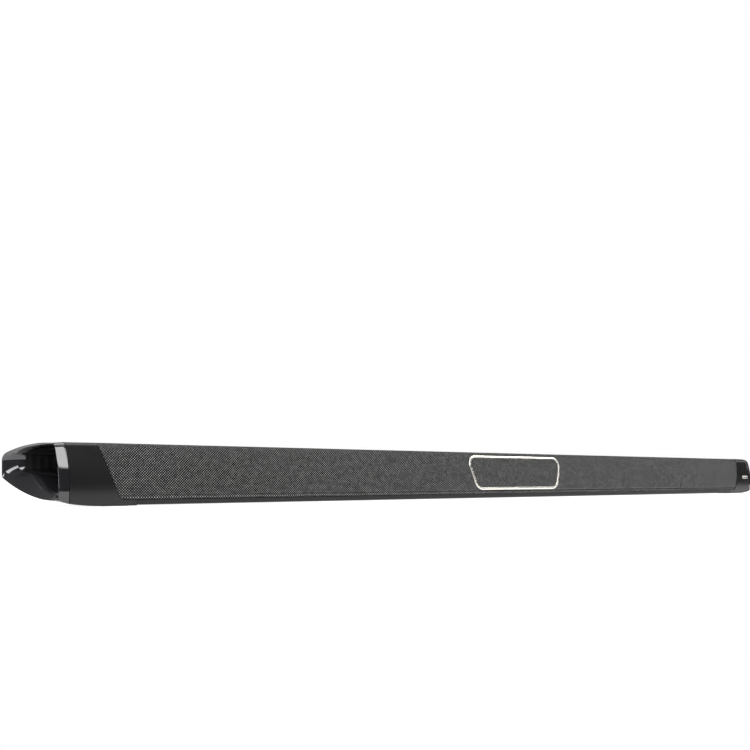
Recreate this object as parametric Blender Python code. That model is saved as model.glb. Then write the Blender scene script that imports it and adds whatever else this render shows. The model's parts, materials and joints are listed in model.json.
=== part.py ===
"""Long, low soundbar with a woven front, gloss bass-port mouths at both ends and a metal ring in the middle.

Sizes are in millimetres and become metres as each mesh is made. +X runs along the bar, the cloth
faces -Y, +Z is up, and the origin is on the table, under the middle of the bar.
"""
import math

import bmesh
import bpy
from mathutils import Vector

MM = 0.001
GAP = 0.35                # space left between pieces that touch
WALL = 2.4                # wall of the mouldings

# The bar as a whole
HALF_DEPTH = 39.5
FRONT_Y = -39.0           # the foremost line of the casing; the ring stands proud of it
HEIGHT = 53.3
FLOOR_Z = 1.0             # underside of the housing, above the table
FACE_Z = 12.0             # the bulging front is furthest forward at this height
FACE_RADIUS = 100.0
TOP_ROUND = 6.0           # where the rounded edge between front and top begins, from the corner
BACK_ROUND = 5.0

# The cloth, its frame and the ring
LIP_Z = 5.3               # top of the plain strip below the cloth
COVER_FRONT_Y = -22.0     # front edge of the top cover, where the cloth ends
COVER_BACK_Y = 33.0       # back edge of the top cover, where the housing rounds over
COVER_THICK = 2.2
CLOTH_INSET = 0.5
CLOTH_THICK = 0.9
FRAME_THICK = 1.6
RING_BAND = 2.9
RING_HIGH_HALF = 79.0      # half widths of the ring, high and low
RING_LOW_HALF = 67.0
RING_Z = (10.2, 49.4)
RING_HIGH_ROUND = 10.5
RING_LOW_ROUND = 13.0

# The end caps and mouths, as distances from the middle of the bar
CAP_FOOT_X = 455.0        # inner end of the strip under the cloth
CAP_LOW_X = 470.2         # slanted edge of the cloth, low
CAP_HIGH_X = 486.0        # slanted edge of the cloth, high
CAP_FLOOR_Z = 0.4
TAPER_X = 483.5           # the ends narrow from here
RIM_FRONT_X = 517.5       # front of the mouth
RIM_BACK_X = 546.28       # the mouth's rim would end here if its edge weren't rounded off
RIM_BOW = 1.25            # how late the mouth slants back: 1 would be straight
JOINT = 0.77              # where cap and horn meet, as a fraction from TAPER_X to the rim
THROAT_CENTRE = (11.0, 33.5)
THROAT_HALF = (15.5, 11.5)
THROAT_ROUND = 8.0
THROAT_RISE = 8.0         # the throat's low edge climbs this much toward the back
THROAT_X = 490.0
FUNNEL_DEPTH = 15.0
PORT_END_X = 446.0

# Baffle and speakers
BAFFLE_FRONT_Y = -27.0
BAFFLE_THICK = 2.5
BAFFLE_HALF = 450.0
DRIVER_Z = 27.0
MID_X = {"left_mid": -400.0, "center_left_mid": -75.0, "center_right_mid": 75.0, "right_mid": 400.0}
TWEETER_X = {"left_tweeter": -338.0, "center_tweeter": 0.0, "right_tweeter": 338.0}

# Top buttons
BUTTON_X = {"power_button": -48.0, "source_button": -24.0, "wireless_button": 0.0,
            "volume_down_button": 24.0, "volume_up_button": 48.0}
BUTTON_Y = 10.0
BUTTON_HALF = (7.0, 4.0)

# Back of the bar
BACK_Y = HALF_DEPTH
BAY_Z = 28.0
BAY_FLOOR_Y = 24.0
SOCKET_MOUTH_Y = 24.8
TERMINAL_BAY = (225.0, 99.0, 15.5)     # middle X, half length, half height
POWER_BAY = (-300.0, 17.0, 13.0)
BOARD_TOP_Z = 24.2
HANGER_X = 380.0
SCREW_X = (110.0, 440.0)
SCREW_Y = 28.5

# The four feet
FOOT_X = 471.0
FOOT_Y = 23.0


# ---------------------------------------------------------------- materials

def material(name, color, roughness, metallic=0.0):
    made = bpy.data.materials.new(name)
    made.use_nodes = True
    shader = made.node_tree.nodes["Principled BSDF"]
    shader.inputs["Base Color"].default_value = (*color, 1.0)
    shader.inputs["Roughness"].default_value = roughness
    shader.inputs["Metallic"].default_value = metallic
    made.diffuse_color = (*color, 1.0)
    return made


def make_materials():
    return {
        "cloth": material("cloth", (0.09, 0.09, 0.09), 0.9),
        "satin_black": material("satin_black", (0.02, 0.02, 0.021), 0.45),
        "gloss_black": material("gloss_black", (0.008, 0.008, 0.01), 0.06),
        "housing_black": material("housing_black", (0.03, 0.03, 0.03), 0.55),
        "bright_metal": material("bright_metal", (0.86, 0.84, 0.79), 0.22, 1.0),
        "frame_plastic": material("frame_plastic", (0.015, 0.015, 0.015), 0.7),
        "rubber": material("rubber", (0.02, 0.02, 0.02), 0.85),
        "board": material("board", (0.02, 0.09, 0.04), 0.5),
        "cone_paper": material("cone_paper", (0.05, 0.05, 0.05), 0.8),
        "dome_silk": material("dome_silk", (0.03, 0.03, 0.035), 0.6),
        "basket": material("basket", (0.12, 0.12, 0.12), 0.4, 1.0),
        "plated_steel": material("plated_steel", (0.6, 0.6, 0.6), 0.3, 1.0),
        "aluminium": material("aluminium", (0.7, 0.7, 0.7), 0.35, 1.0),
        "socket_plastic": material("socket_plastic", (0.02, 0.02, 0.02), 0.4),
    }


# ---------------------------------------------------------------- outlines

def lerp(a, b, t):
    return a + (b - a) * t


def rounded_path(corners, steps=4, closed=True):
    """Turns corners (a, b, radius) into points, with an arc at each corner that has a radius."""
    points = []
    count = len(corners)
    for index, (a, b, radius) in enumerate(corners):
        inner = closed or 0 < index < count - 1
        corner = Vector((a, b))
        if radius <= 0 or not inner:
            points.append((a, b))
            continue
        to_last = (Vector(corners[index - 1][:2]) - corner).normalized()
        to_next = (Vector(corners[(index + 1) % count][:2]) - corner).normalized()
        half = to_last.angle(to_next) / 2
        centre = corner + (to_last + to_next).normalized() * (radius / math.sin(half))
        start = corner + to_last * (radius / math.tan(half)) - centre
        end = corner + to_next * (radius / math.tan(half)) - centre
        turn = math.atan2(start.x * end.y - start.y * end.x, start.dot(end))
        for step in range(steps + 1):
            angle = turn * step / steps
            across = start.x * math.cos(angle) - start.y * math.sin(angle)
            up = start.x * math.sin(angle) + start.y * math.cos(angle)
            points.append((centre.x + across, centre.y + up))
    return points


def rounded_rectangle(half_a, half_b, radius, steps=3, centre=(0.0, 0.0)):
    a, b = centre
    corners = [(a - half_a, b - half_b, radius), (a + half_a, b - half_b, radius),
               (a + half_a, b + half_b, radius), (a - half_a, b + half_b, radius)]
    return rounded_path(corners, steps)


def racetrack(half_a, half_b, count, centre=(0.0, 0.0)):
    """Two half circles joined by straight sides; a circle when both halves are equal."""
    points = []
    for index in range(count):
        angle = 2 * math.pi * (index + 0.5) / count
        shift = math.copysign(half_a - half_b, math.cos(angle))
        a = half_b * math.cos(angle) + shift
        points.append((centre[0] + a, centre[1] + half_b * math.sin(angle)))
    return points


def side_points(start, end, skip_start, skip_end, inside, power=1.0):
    """Points along a side, leaving out its rounded ends. power above 1 makes it bow."""
    length = math.dist(start, end)
    first = skip_start / length
    last = 1 - skip_end / length
    points = []
    for index in range(inside + 2):
        q = lerp(first, last, index / (inside + 1))
        points.append((lerp(start[0], end[0], q), lerp(start[1], end[1], q ** power)))
    return points


def bend(start, corner, end, steps):
    """Inner points of the curve from start to end that is pulled towards corner."""
    points = []
    for index in range(1, steps):
        t = index / steps
        weights = ((1 - t) ** 2, 2 * t * (1 - t), t ** 2)
        points.append(tuple(sum(w * p[i] for w, p in zip(weights, (start, corner, end))) for i in (0, 1)))
    return points


def four_sided(corners, radii, top_power=1.0, low_power=1.0, front_bow=None):
    """Outline (Y, Z): up the front, back over the top, down the back, and forward along the bottom.

    front_bow gives Y from Z where the front isn't straight.
    """
    front_low, front_high, back_high, back_low = corners
    round_fl, round_fh, round_bh, round_bl = radii
    front = side_points(front_low, front_high, round_fl, round_fh, 3)
    if front_bow:
        front = [(front_bow(z), z) for _, z in front]
    top = side_points(front_high, back_high, round_fh, round_bh, 7, top_power)
    back = side_points(back_high, back_low, round_bh, round_bl, 1)
    low = side_points(front_low, back_low, round_fl, round_bl, 7, low_power)[::-1]
    outline = front + bend(front[-1], front_high, top[0], 5)
    outline += top + bend(top[-1], back_high, back[0], 4)
    outline += back + bend(back[-1], back_low, low[0], 4)
    outline += low + bend(low[-1], front_low, front[0], 3)
    return outline


def face_y(z):
    """Y of the bulging front face at height z."""
    return FRONT_Y + (z - FACE_Z) ** 2 / (2 * FACE_RADIUS)


def surface_y(z, inset):
    """Y of the front, with its rounded top edge, at a depth of inset under the surface."""
    high = HEIGHT - inset
    start = high - TOP_ROUND
    if z <= start:
        return face_y(z) + inset
    t = 1 - math.sqrt((high - z) / TOP_ROUND)
    corner = face_y(high)
    return inset + (1 - t) ** 2 * face_y(start) + 2 * t * (1 - t) * corner + t ** 2 * (corner + TOP_ROUND)


def section(taper, inset=0.0):
    """Outline of an end cap. taper is 0 where the bar is straight and 1 at the rim of its mouth."""
    low_front = lerp(CAP_FLOOR_Z, 4.3, taper) + inset
    low_back = lerp(CAP_FLOOR_Z, 23.8, taper) + inset
    high_front = lerp(HEIGHT, 53.0, taper) - inset
    high_back = lerp(HEIGHT, 43.5, taper) - inset
    back = HALF_DEPTH - inset
    corners = [(face_y(low_front) + inset, low_front), (face_y(high_front) + inset, high_front),
               (back, high_back), (back, low_back)]
    low_round = max(lerp(1.5, 2.5, taper) - inset, 0.5)
    back_round = max(BACK_ROUND - inset, 0.5)
    back_low_round = max(lerp(BACK_ROUND, 2.5, taper) - inset, 0.5)
    radii = (low_round, TOP_ROUND, back_round, back_low_round)
    return four_sided(corners, radii, lerp(1.0, 3.2, taper), lerp(1.0, 2.4, taper),
                      lambda z: face_y(z) + inset)


def throat_outline(grow=0.0):
    middle_y, middle_z = THROAT_CENTRE
    half_y = THROAT_HALF[0] + grow
    half_z = THROAT_HALF[1] + grow
    corners = [(middle_y - half_y, middle_z - half_z), (middle_y - half_y, middle_z + half_z),
               (middle_y + half_y, middle_z + half_z), (middle_y + half_y, middle_z - half_z + THROAT_RISE)]
    back_round = 0.6 * THROAT_ROUND + grow
    return four_sided(corners, (THROAT_ROUND + grow, THROAT_ROUND + grow, back_round, back_round))


def rim_x(y):
    """Distance of the mouth's rim from the middle of the bar: the mouth slants back."""
    back = max(y - FRONT_Y, 0.0) / (HALF_DEPTH - FRONT_Y)
    return lerp(RIM_FRONT_X, RIM_BACK_X, back ** RIM_BOW)


def end_ring(side, along, inset=0.0):
    """Ring of points round an end, along = 0 at TAPER_X and 1 at the rim."""
    return [(side * lerp(TAPER_X, rim_x(y), along), y, z) for y, z in section(along ** 2, inset)]


def funnel_ring(side, v, grow=0.0, back=0.0):
    """Ring of the horn's inner surface, from the mouth (v = 0) to the throat (v = 1)."""
    share = math.sin(v * math.pi / 2) ** 0.8
    mouth = section(1.0, 1.6)
    ring = []
    for (my, mz), (ty, tz) in zip(mouth, throat_outline(grow)):
        distance = rim_x(my) - 0.6 - FUNNEL_DEPTH * v - back
        ring.append((side * distance, lerp(my, ty, share), lerp(mz, tz, share)))
    return ring


# ---------------------------------------------------------------- solids

def point_on(axis, along, a, b):
    """Point at along on the axis, with outline coordinates a and b on the two others, in XYZ order."""
    return {"X": (along, a, b), "Y": (a, along, b), "Z": (a, b, along)}[axis]


def rings_solid(mesh, rings, closed=False):
    """Skins a list of rings with equal counts: ends capped, or joined to each other when closed."""
    verts = [[mesh.verts.new(Vector(point) * MM) for point in ring] for ring in rings]
    pairs = list(zip(verts, verts[1:]))
    if closed:
        pairs.append((verts[-1], verts[0]))
    else:
        mesh.faces.new(verts[0])
        mesh.faces.new(verts[-1])
    for ring, following in pairs:
        for index in range(len(ring)):
            last = index - 1
            mesh.faces.new((ring[last], ring[index], following[index], following[last]))


def prism(mesh, axis, outline, low, high):
    rings_solid(mesh, [[point_on(axis, along, a, b) for a, b in outline] for along in (low, high)])


def block(mesh, low, high):
    (x0, y0, z0), (x1, y1, z1) = low, high
    prism(mesh, "Z", [(x0, y0), (x1, y0), (x1, y1), (x0, y1)], z0, z1)


def stack(mesh, axis, steps, outline):
    """Solid from (along, half_a, half_b) steps; outline(half_a, half_b) gives each ring's points."""
    rings_solid(mesh, [[point_on(axis, along, a, b) for a, b in outline(half_a, half_b)]
                       for along, half_a, half_b in steps])


def place(name, mesh, origin=(0.0, 0.0, 0.0)):
    """Makes the named object from a bmesh, with its origin where its joint is."""
    bmesh.ops.recalc_face_normals(mesh, faces=mesh.faces)
    bmesh.ops.translate(mesh, verts=mesh.verts, vec=Vector(origin) * -MM)
    data = bpy.data.meshes.new(name)
    mesh.to_mesh(data)
    mesh.free()
    data.shade_smooth()
    data.set_sharp_from_angle(angle=math.radians(35))
    made = bpy.data.objects.new(name, data)
    made.location = Vector(origin) * MM
    bpy.context.scene.collection.objects.link(made)
    return made


def piece(name, mesh, finish, origin=(0.0, 0.0, 0.0)):
    made = place(name, mesh, origin)
    made.data.materials.append(finish)
    return made


def tool(name, mesh):
    """A hidden shape that cuts or joins another."""
    made = place(name, mesh)
    made.hide_render = True
    made.display_type = "WIRE"
    return made


def combine(target, other, operation):
    modifier = target.modifiers.new(other.name, "BOOLEAN")
    modifier.operation = operation
    modifier.solver = "EXACT"
    modifier.object = other


# ---------------------------------------------------------------- ends of the cloth and the body

def end_line(side, shift):
    """The line (X, Z) where the middle of the bar meets an end cap, moved towards the middle by shift."""
    corners = [(CAP_FOOT_X - shift, -9.0, 0), (CAP_FOOT_X - shift, LIP_Z + shift, 0),
               (CAP_LOW_X - 1.0 - shift, LIP_Z + shift, 7.0), (CAP_HIGH_X - shift, HEIGHT, 0),
               (CAP_HIGH_X + 3.0 - shift, HEIGHT + 9.0, 0)]
    return [(side * x, z) for x, z in rounded_path(corners, 5, closed=False)]


def make_end_tools():
    """Cuts the slanted ends of everything between the two caps."""
    tools = []
    for side, word in ((-1, "left"), (1, "right")):
        mesh = bmesh.new()
        outline = end_line(side, GAP) + [(side * 600.0, HEIGHT + 9.0), (side * 600.0, -9.0)]
        prism(mesh, "Y", outline, -60.0, 60.0)
        tools.append(tool(f"cut_{word}_end_of_body", mesh))
    return tools


# ---------------------------------------------------------------- casing

def make_rear_housing(finish, end_tools):
    inner_top = HEIGHT - COVER_THICK
    outline = [(face_y(LIP_Z), LIP_Z, 0), (face_y(FLOOR_Z), FLOOR_Z, 1.5),
               (BACK_Y, FLOOR_Z, BACK_ROUND), (BACK_Y, HEIGHT, BACK_ROUND),
               (COVER_BACK_Y, HEIGHT, 0), (COVER_BACK_Y, inner_top, 0),
               (BACK_Y - WALL, inner_top, BACK_ROUND - WALL),
               (BACK_Y - WALL, FLOOR_Z + WALL, BACK_ROUND - WALL),
               (face_y(FLOOR_Z) + WALL, FLOOR_Z + WALL, 0), (face_y(LIP_Z) + WALL, LIP_Z, 0)]
    mesh = bmesh.new()
    prism(mesh, "X", rounded_path(outline), -CAP_HIGH_X, CAP_HIGH_X)
    housing = piece("rear_housing", mesh, finish)
    for end_tool in end_tools:
        combine(housing, end_tool, "DIFFERENCE")

    posts = bmesh.new()
    main_feet = [(x, y, BOARD_TOP_Z - 1.9) for x in (138.0, 312.0) for y in (-8.0, 17.0)]
    power_feet = [(x, y, 8.7) for x in (-316.0, -206.0, -186.0, -128.0) for y in (-14.0, 15.0)]
    for x, y, top in main_feet + power_feet:
        block(posts, (x - 2.5, y - 2.5, FLOOR_Z + WALL - 0.5), (x + 2.5, y + 2.5, top))
    combine(housing, tool("add_board_posts", posts), "UNION")

    holes = bmesh.new()
    for middle, half_x, half_z in (TERMINAL_BAY, POWER_BAY):
        outline = rounded_rectangle(half_x, half_z, 3.0, centre=(middle, BAY_Z))
        prism(holes, "Y", outline, BACK_Y - WALL - 2, BACK_Y + 2)
    for x in (-HANGER_X, HANGER_X):
        prism(holes, "Y", rounded_rectangle(14.0, 10.0, 3.0, centre=(x, BAY_Z)), BACK_Y - WALL - 2, BACK_Y + 2)
    for x in screw_places():
        circle = lambda half_a, half_b, at=x: racetrack(half_a, half_b, 12, (at, SCREW_Y))
        stack(holes, "Z", [(FLOOR_Z - 2, 3.4, 3.4), (FLOOR_Z + 1.3, 3.4, 3.4),
                           (FLOOR_Z + 1.3, 1.75, 1.75), (FLOOR_Z + WALL + 2, 1.75, 1.75)], circle)
    combine(housing, tool("cut_back_and_screw_holes", holes), "DIFFERENCE")


def make_top_cover(finish, end_tools):
    mesh = bmesh.new()
    block(mesh, (-CAP_HIGH_X, COVER_FRONT_Y, HEIGHT - COVER_THICK), (CAP_HIGH_X, COVER_BACK_Y - GAP, HEIGHT))
    cover = piece("top_cover", mesh, finish)
    for end_tool in end_tools:
        combine(cover, end_tool, "DIFFERENCE")

    posts = bmesh.new()
    for x in screw_places():
        circle = lambda half_a, half_b, at=x: racetrack(half_a, half_b, 12, (at, SCREW_Y))
        stack(posts, "Z", [(HEIGHT - 1.0, 3.5, 3.5), (FLOOR_Z + WALL + 0.4, 3.5, 3.5),
                           (FLOOR_Z + WALL + 0.4, 1.75, 1.75), (16.0, 1.75, 1.75)], circle)
    combine(cover, tool("add_screw_posts", posts), "UNION")

    holes = bmesh.new()
    for x in BUTTON_X.values():
        outline = rounded_rectangle(BUTTON_HALF[0] + GAP, BUTTON_HALF[1] + GAP, 2.3, centre=(x, BUTTON_Y))
        prism(holes, "Z", outline, HEIGHT - COVER_THICK - 2, HEIGHT + 2)
    combine(cover, tool("cut_button_holes", holes), "DIFFERENCE")


def screw_places():
    return [side * x for side in (-1, 1) for x in SCREW_X]


def make_screws(finish):
    for index, x in enumerate(screw_places()):
        circle = lambda half_a, half_b, at=x: racetrack(half_a, half_b, 12, (at, SCREW_Y))
        mesh = bmesh.new()
        stack(mesh, "Z", [(FLOOR_Z + 0.15, 2.6, 2.6), (FLOOR_Z + 0.35, 3.0, 3.0), (FLOOR_Z + 1.0, 3.0, 3.0),
                          (FLOOR_Z + 1.0, 1.4, 1.4), (14.0, 1.4, 1.4), (15.2, 0.5, 0.5)], circle)
        piece(f"housing_screw_{index + 1}", mesh, finish)


def make_end_cap(side, word, finish):
    rings = []
    for inset, order in ((0.0, 1), (WALL, -1)):
        shell = [[(side * CAP_FOOT_X, y, z) for y, z in section(0.0, inset)]]
        shell += [end_ring(side, (JOINT - 0.005) * step / 4, inset) for step in range(5)]
        rings += shell[::order]
    mesh = bmesh.new()
    rings_solid(mesh, rings, closed=True)
    cap = piece(f"{word}_end_cap", mesh, finish)

    cut = bmesh.new()
    outline = end_line(side, 0.0)[1:]
    outline[0] = (side * (CAP_FOOT_X - 9.0), LIP_Z)
    outline.append((side * (CAP_FOOT_X - 9.0), HEIGHT + 9.0))
    prism(cut, "Y", outline, -60.0, 60.0)
    combine(cap, tool(f"cut_{word}_cap_edge", cut), "DIFFERENCE")

    pockets = bmesh.new()
    for middle_y in (-FOOT_Y, FOOT_Y):
        prism(pockets, "Z", rounded_rectangle(12.0 + GAP, 9.0 + GAP, 3.0, 2, (side * FOOT_X, middle_y)), -3.0, 1.9)
    combine(cap, tool(f"cut_{word}_foot_pockets", pockets), "DIFFERENCE")


def make_feet(finish):
    for side, side_word in ((-1, "left"), (1, "right")):
        for middle_y, word in ((-FOOT_Y, "front"), (FOOT_Y, "rear")):
            outline = lambda a, b, s=side, y=middle_y: rounded_rectangle(a, b, 2.7, 2, (s * FOOT_X, y))
            mesh = bmesh.new()
            stack(mesh, "Z", [(0.0, 11.6, 8.6), (0.4, 12.0, 9.0), (1.55, 12.0, 9.0)], outline)
            piece(f"{side_word}_{word}_foot", mesh, finish)


def make_end_horn(side, word, finish):
    start = JOINT + 0.005
    rings = [end_ring(side, along) for along in (start, 0.86, 0.94, 0.985)]
    rings += [end_ring(side, 1.0, 0.5), end_ring(side, 0.995, 1.3)]
    rings += [funnel_ring(side, v) for v in (0.03, 0.15, 0.32, 0.5, 0.7, 1.0)]
    rings.append([(side * THROAT_X, y, z) for y, z in throat_outline()])
    rings.append([(side * THROAT_X, y, z) for y, z in throat_outline(1.8)])
    rings += [funnel_ring(side, v, 1.8, 2.0) for v in (1.0, 0.6, 0.3)]
    rings += [end_ring(side, 0.9, 4.2), end_ring(side, 0.70, 4.2)]
    rings += [end_ring(side, 0.70, WALL + 0.4), end_ring(side, start, WALL + 0.4)]
    mesh = bmesh.new()
    rings_solid(mesh, rings, closed=True)
    piece(f"{word}_end_horn", mesh, finish)


def make_port_tube(side, word, finish):
    rings = []
    for grow, places in ((1.8, (THROAT_X - 0.4, PORT_END_X)), (0.0, (PORT_END_X, THROAT_X - 0.4))):
        rings += [[(side * x, y, z) for y, z in throat_outline(grow)] for x in places]
    mesh = bmesh.new()
    rings_solid(mesh, rings, closed=True)
    piece(f"{word}_port_tube", mesh, finish)


# ---------------------------------------------------------------- front

def front_strip(inset, thick, low_z, steps):
    """Outline (Y, Z) of a thin strip that follows the front and its rounded top edge."""
    path = []
    for depth in (inset, inset + thick):
        start = HEIGHT - depth - TOP_ROUND
        heights = [lerp(low_z, start, step / steps) for step in range(steps + 1)]
        heights += [HEIGHT - depth - TOP_ROUND * (1 - step / steps) ** 2 for step in range(1, steps + 1)]
        layer = [(surface_y(z, depth), z) for z in heights] + [(COVER_FRONT_Y - GAP, HEIGHT - depth)]
        path += layer if depth == inset else layer[::-1]
    return path


def make_cloth_and_frame(materials, end_tools):
    mesh = bmesh.new()
    prism(mesh, "X", front_strip(CLOTH_INSET, CLOTH_THICK, LIP_Z + GAP, 7), -CAP_HIGH_X, CAP_HIGH_X)
    cloth = piece("grille_cloth", mesh, materials["cloth"])
    mesh = bmesh.new()
    frame_inset = CLOTH_INSET + CLOTH_THICK + 0.3
    prism(mesh, "X", front_strip(frame_inset, FRAME_THICK, LIP_Z + GAP, 4), -CAP_HIGH_X, CAP_HIGH_X)
    frame = piece("grille_frame", mesh, materials["frame_plastic"])
    for end_tool in end_tools:
        combine(cloth, end_tool, "DIFFERENCE")
        combine(frame, end_tool, "DIFFERENCE")
    windows = bmesh.new()
    pitch = 82.0
    for index in range(-5, 6):
        prism(windows, "Y", rounded_rectangle(pitch / 2 - 3.5, 15.0, 3.0, 2, (index * pitch, 27.0)), -50.0, -24.0)
    combine(frame, tool("cut_grille_windows", windows), "DIFFERENCE")


def make_center_ring(finish):
    low_z, high_z = RING_Z
    flank = math.atan((RING_HIGH_HALF - RING_LOW_HALF) / (high_z - low_z))
    rings = []
    layers = ((0.0, 0.15), (0.0, -0.3), (0.3, -0.5), (RING_BAND - 0.3, -0.5),
              (RING_BAND, -0.3), (RING_BAND, 0.15))
    for band, inset in layers:
        shift = band * (1 / math.cos(flank) + math.tan(flank))
        shift_low = band * (1 / math.cos(flank) - math.tan(flank))
        low_round = RING_LOW_ROUND - band
        high_round = RING_HIGH_ROUND - band
        low = (RING_LOW_HALF - shift_low, low_z + band)
        high = (RING_HIGH_HALF - shift, high_z - band)
        flanks = [(lerp(low[0], high[0], t), lerp(low[1], high[1], t)) for t in (0.46, 0.53, 0.6, 0.67)]
        corners = [(-low[0], low[1], low_round), (*low, low_round)] + [(x, z, 0) for x, z in flanks]
        corners += [(*high, high_round), (-high[0], high[1], high_round)] + [(-x, z, 0) for x, z in flanks[::-1]]
        rings.append([(x, surface_y(z, inset), z) for x, z in rounded_path(corners, 6)])
    mesh = bmesh.new()
    rings_solid(mesh, rings, closed=True)
    piece("center_ring", mesh, finish)


def make_badge(finish):
    rings = []
    for depth, half_x, half_z in ((-0.3, 7.5, 2.2), (-0.7, 7.5, 2.2), (-0.85, 7.2, 1.9)):
        rings.append([(x, surface_y(z, depth), z) for x, z in racetrack(half_x, half_z, 16, (498.0, 25.0))])
    mesh = bmesh.new()
    rings_solid(mesh, rings)
    piece("right_badge", mesh, finish)


def make_baffle(finish):
    mesh = bmesh.new()
    block(mesh, (-BAFFLE_HALF, BAFFLE_FRONT_Y, 3.8), (BAFFLE_HALF, BAFFLE_FRONT_Y + BAFFLE_THICK, 48.2))
    baffle = piece("front_baffle", mesh, finish)
    holes = bmesh.new()
    for x in MID_X.values():
        prism(holes, "Y", racetrack(38.8, 15.8, 16, (x, DRIVER_Z)), -35.0, -15.0)
    for x in TWEETER_X.values():
        prism(holes, "Y", racetrack(13.0, 13.0, 20, (x, DRIVER_Z)), -35.0, -15.0)
    combine(baffle, tool("cut_driver_holes", holes), "DIFFERENCE")


# ---------------------------------------------------------------- speakers

def make_mid(name, x, materials):
    outline = lambda half_a, half_b: racetrack(half_a, half_b, 16, (x, DRIVER_Z))
    basket = [(4.0, 14.0, 14.0), (2.5, 15.5, 15.5), (-11.0, 15.5, 15.5), (-12.0, 19.0, 14.8),
              (-20.0, 38.0, 15.0), (BAFFLE_FRONT_Y - 0.3, 38.0, 15.0), (BAFFLE_FRONT_Y - 0.3, 42.0, 18.5),
              (-28.9, 42.0, 18.5), (-29.3, 41.6, 18.1), (-29.3, 36.6, 13.6), (-21.0, 36.6, 13.6),
              (-12.0, 11.0, 11.0), (-11.0, 10.5, 10.5), (1.0, 10.5, 10.5)]
    mesh = bmesh.new()
    stack(mesh, "Y", basket, outline)
    piece(f"{name}_basket", mesh, materials["basket"])
    cone = [(-22.9, 3.0, 3.0), (-22.3, 7.0, 6.4), (-21.0, 11.0, 9.3), (-26.8, 33.0, 11.4),
            (-28.6, 34.6, 12.2), (-28.2, 36.0, 13.0), (-27.0, 36.0, 13.0), (-26.2, 34.0, 12.4),
            (-19.8, 12.0, 10.4), (-19.3, 9.8, 9.8), (-4.0, 9.8, 9.8)]
    mesh = bmesh.new()
    stack(mesh, "Y", cone, outline)
    piece(f"{name}_cone", mesh, materials["cone_paper"], (x, -20.0, DRIVER_Z))


def make_tweeter(name, x, materials):
    outline = lambda half_a, half_b: racetrack(half_a, half_b, 20, (x, DRIVER_Z))
    body = [(-11.0, 11.0, 11.0), (-12.0, 12.4, 12.4), (BAFFLE_FRONT_Y - 0.3, 12.4, 12.4),
            (BAFFLE_FRONT_Y - 0.3, 15.2, 15.2), (-28.9, 15.2, 15.2), (-29.3, 14.8, 14.8),
            (-28.6, 10.3, 10.3), (-24.0, 10.3, 10.3)]
    mesh = bmesh.new()
    stack(mesh, "Y", body, outline)
    piece(f"{name}_body", mesh, materials["frame_plastic"])
    dome = [(-31.2, 2.0, 2.0), (-30.6, 5.0, 5.0), (-29.4, 8.0, 8.0), (-28.3, 9.3, 9.3), (-28.3, 9.9, 9.9),
            (-27.7, 9.9, 9.9), (-27.7, 9.2, 9.2), (-25.0, 9.2, 9.2)]
    mesh = bmesh.new()
    stack(mesh, "Y", dome, outline)
    piece(f"{name}_dome", mesh, materials["dome_silk"], (x, -27.7, DRIVER_Z))


# ---------------------------------------------------------------- buttons and boards

def make_buttons(materials):
    for name, x in BUTTON_X.items():
        outline = lambda half_a, half_b, at=x: rounded_rectangle(half_a, half_b, 2.0, 3, (at, BUTTON_Y))
        half_a, half_b = BUTTON_HALF
        mesh = bmesh.new()
        stack(mesh, "Z", [(HEIGHT - 0.1, half_a - 0.5, half_b - 0.5), (HEIGHT - 0.5, half_a, half_b),
                          (HEIGHT - 2.6, half_a, half_b), (HEIGHT - 2.6, half_a + 1.2, half_b + 1.2),
                          (HEIGHT - 3.7, half_a + 1.2, half_b + 1.2)], outline)
        piece(name, mesh, materials["satin_black"], (x, BUTTON_Y, HEIGHT - 2.6))
    mesh = bmesh.new()
    block(mesh, (-62.0, 1.0, 44.4), (62.0, 19.0, 46.0))
    board = piece("button_board", mesh, materials["board"])
    switches = bmesh.new()
    for x in BUTTON_X.values():
        block(switches, (x - 3.0, BUTTON_Y - 3.0, 45.8), (x + 3.0, BUTTON_Y + 3.0, 48.4))
    combine(board, tool("add_switches", switches), "UNION")


def board_with_parts(name, low, high, parts, finish):
    """A circuit board with raised parts (x, y, half_x, half_y, height) on its top face."""
    mesh = bmesh.new()
    block(mesh, low, high)
    board = piece(name, mesh, finish)
    raised = bmesh.new()
    for x, y, half_x, half_y, tall in parts:
        block(raised, (x - half_x, y - half_y, high[2] - 0.2), (x + half_x, y + half_y, high[2] + tall))
    combine(board, tool(f"add_parts_of_{name}", raised), "UNION")


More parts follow.
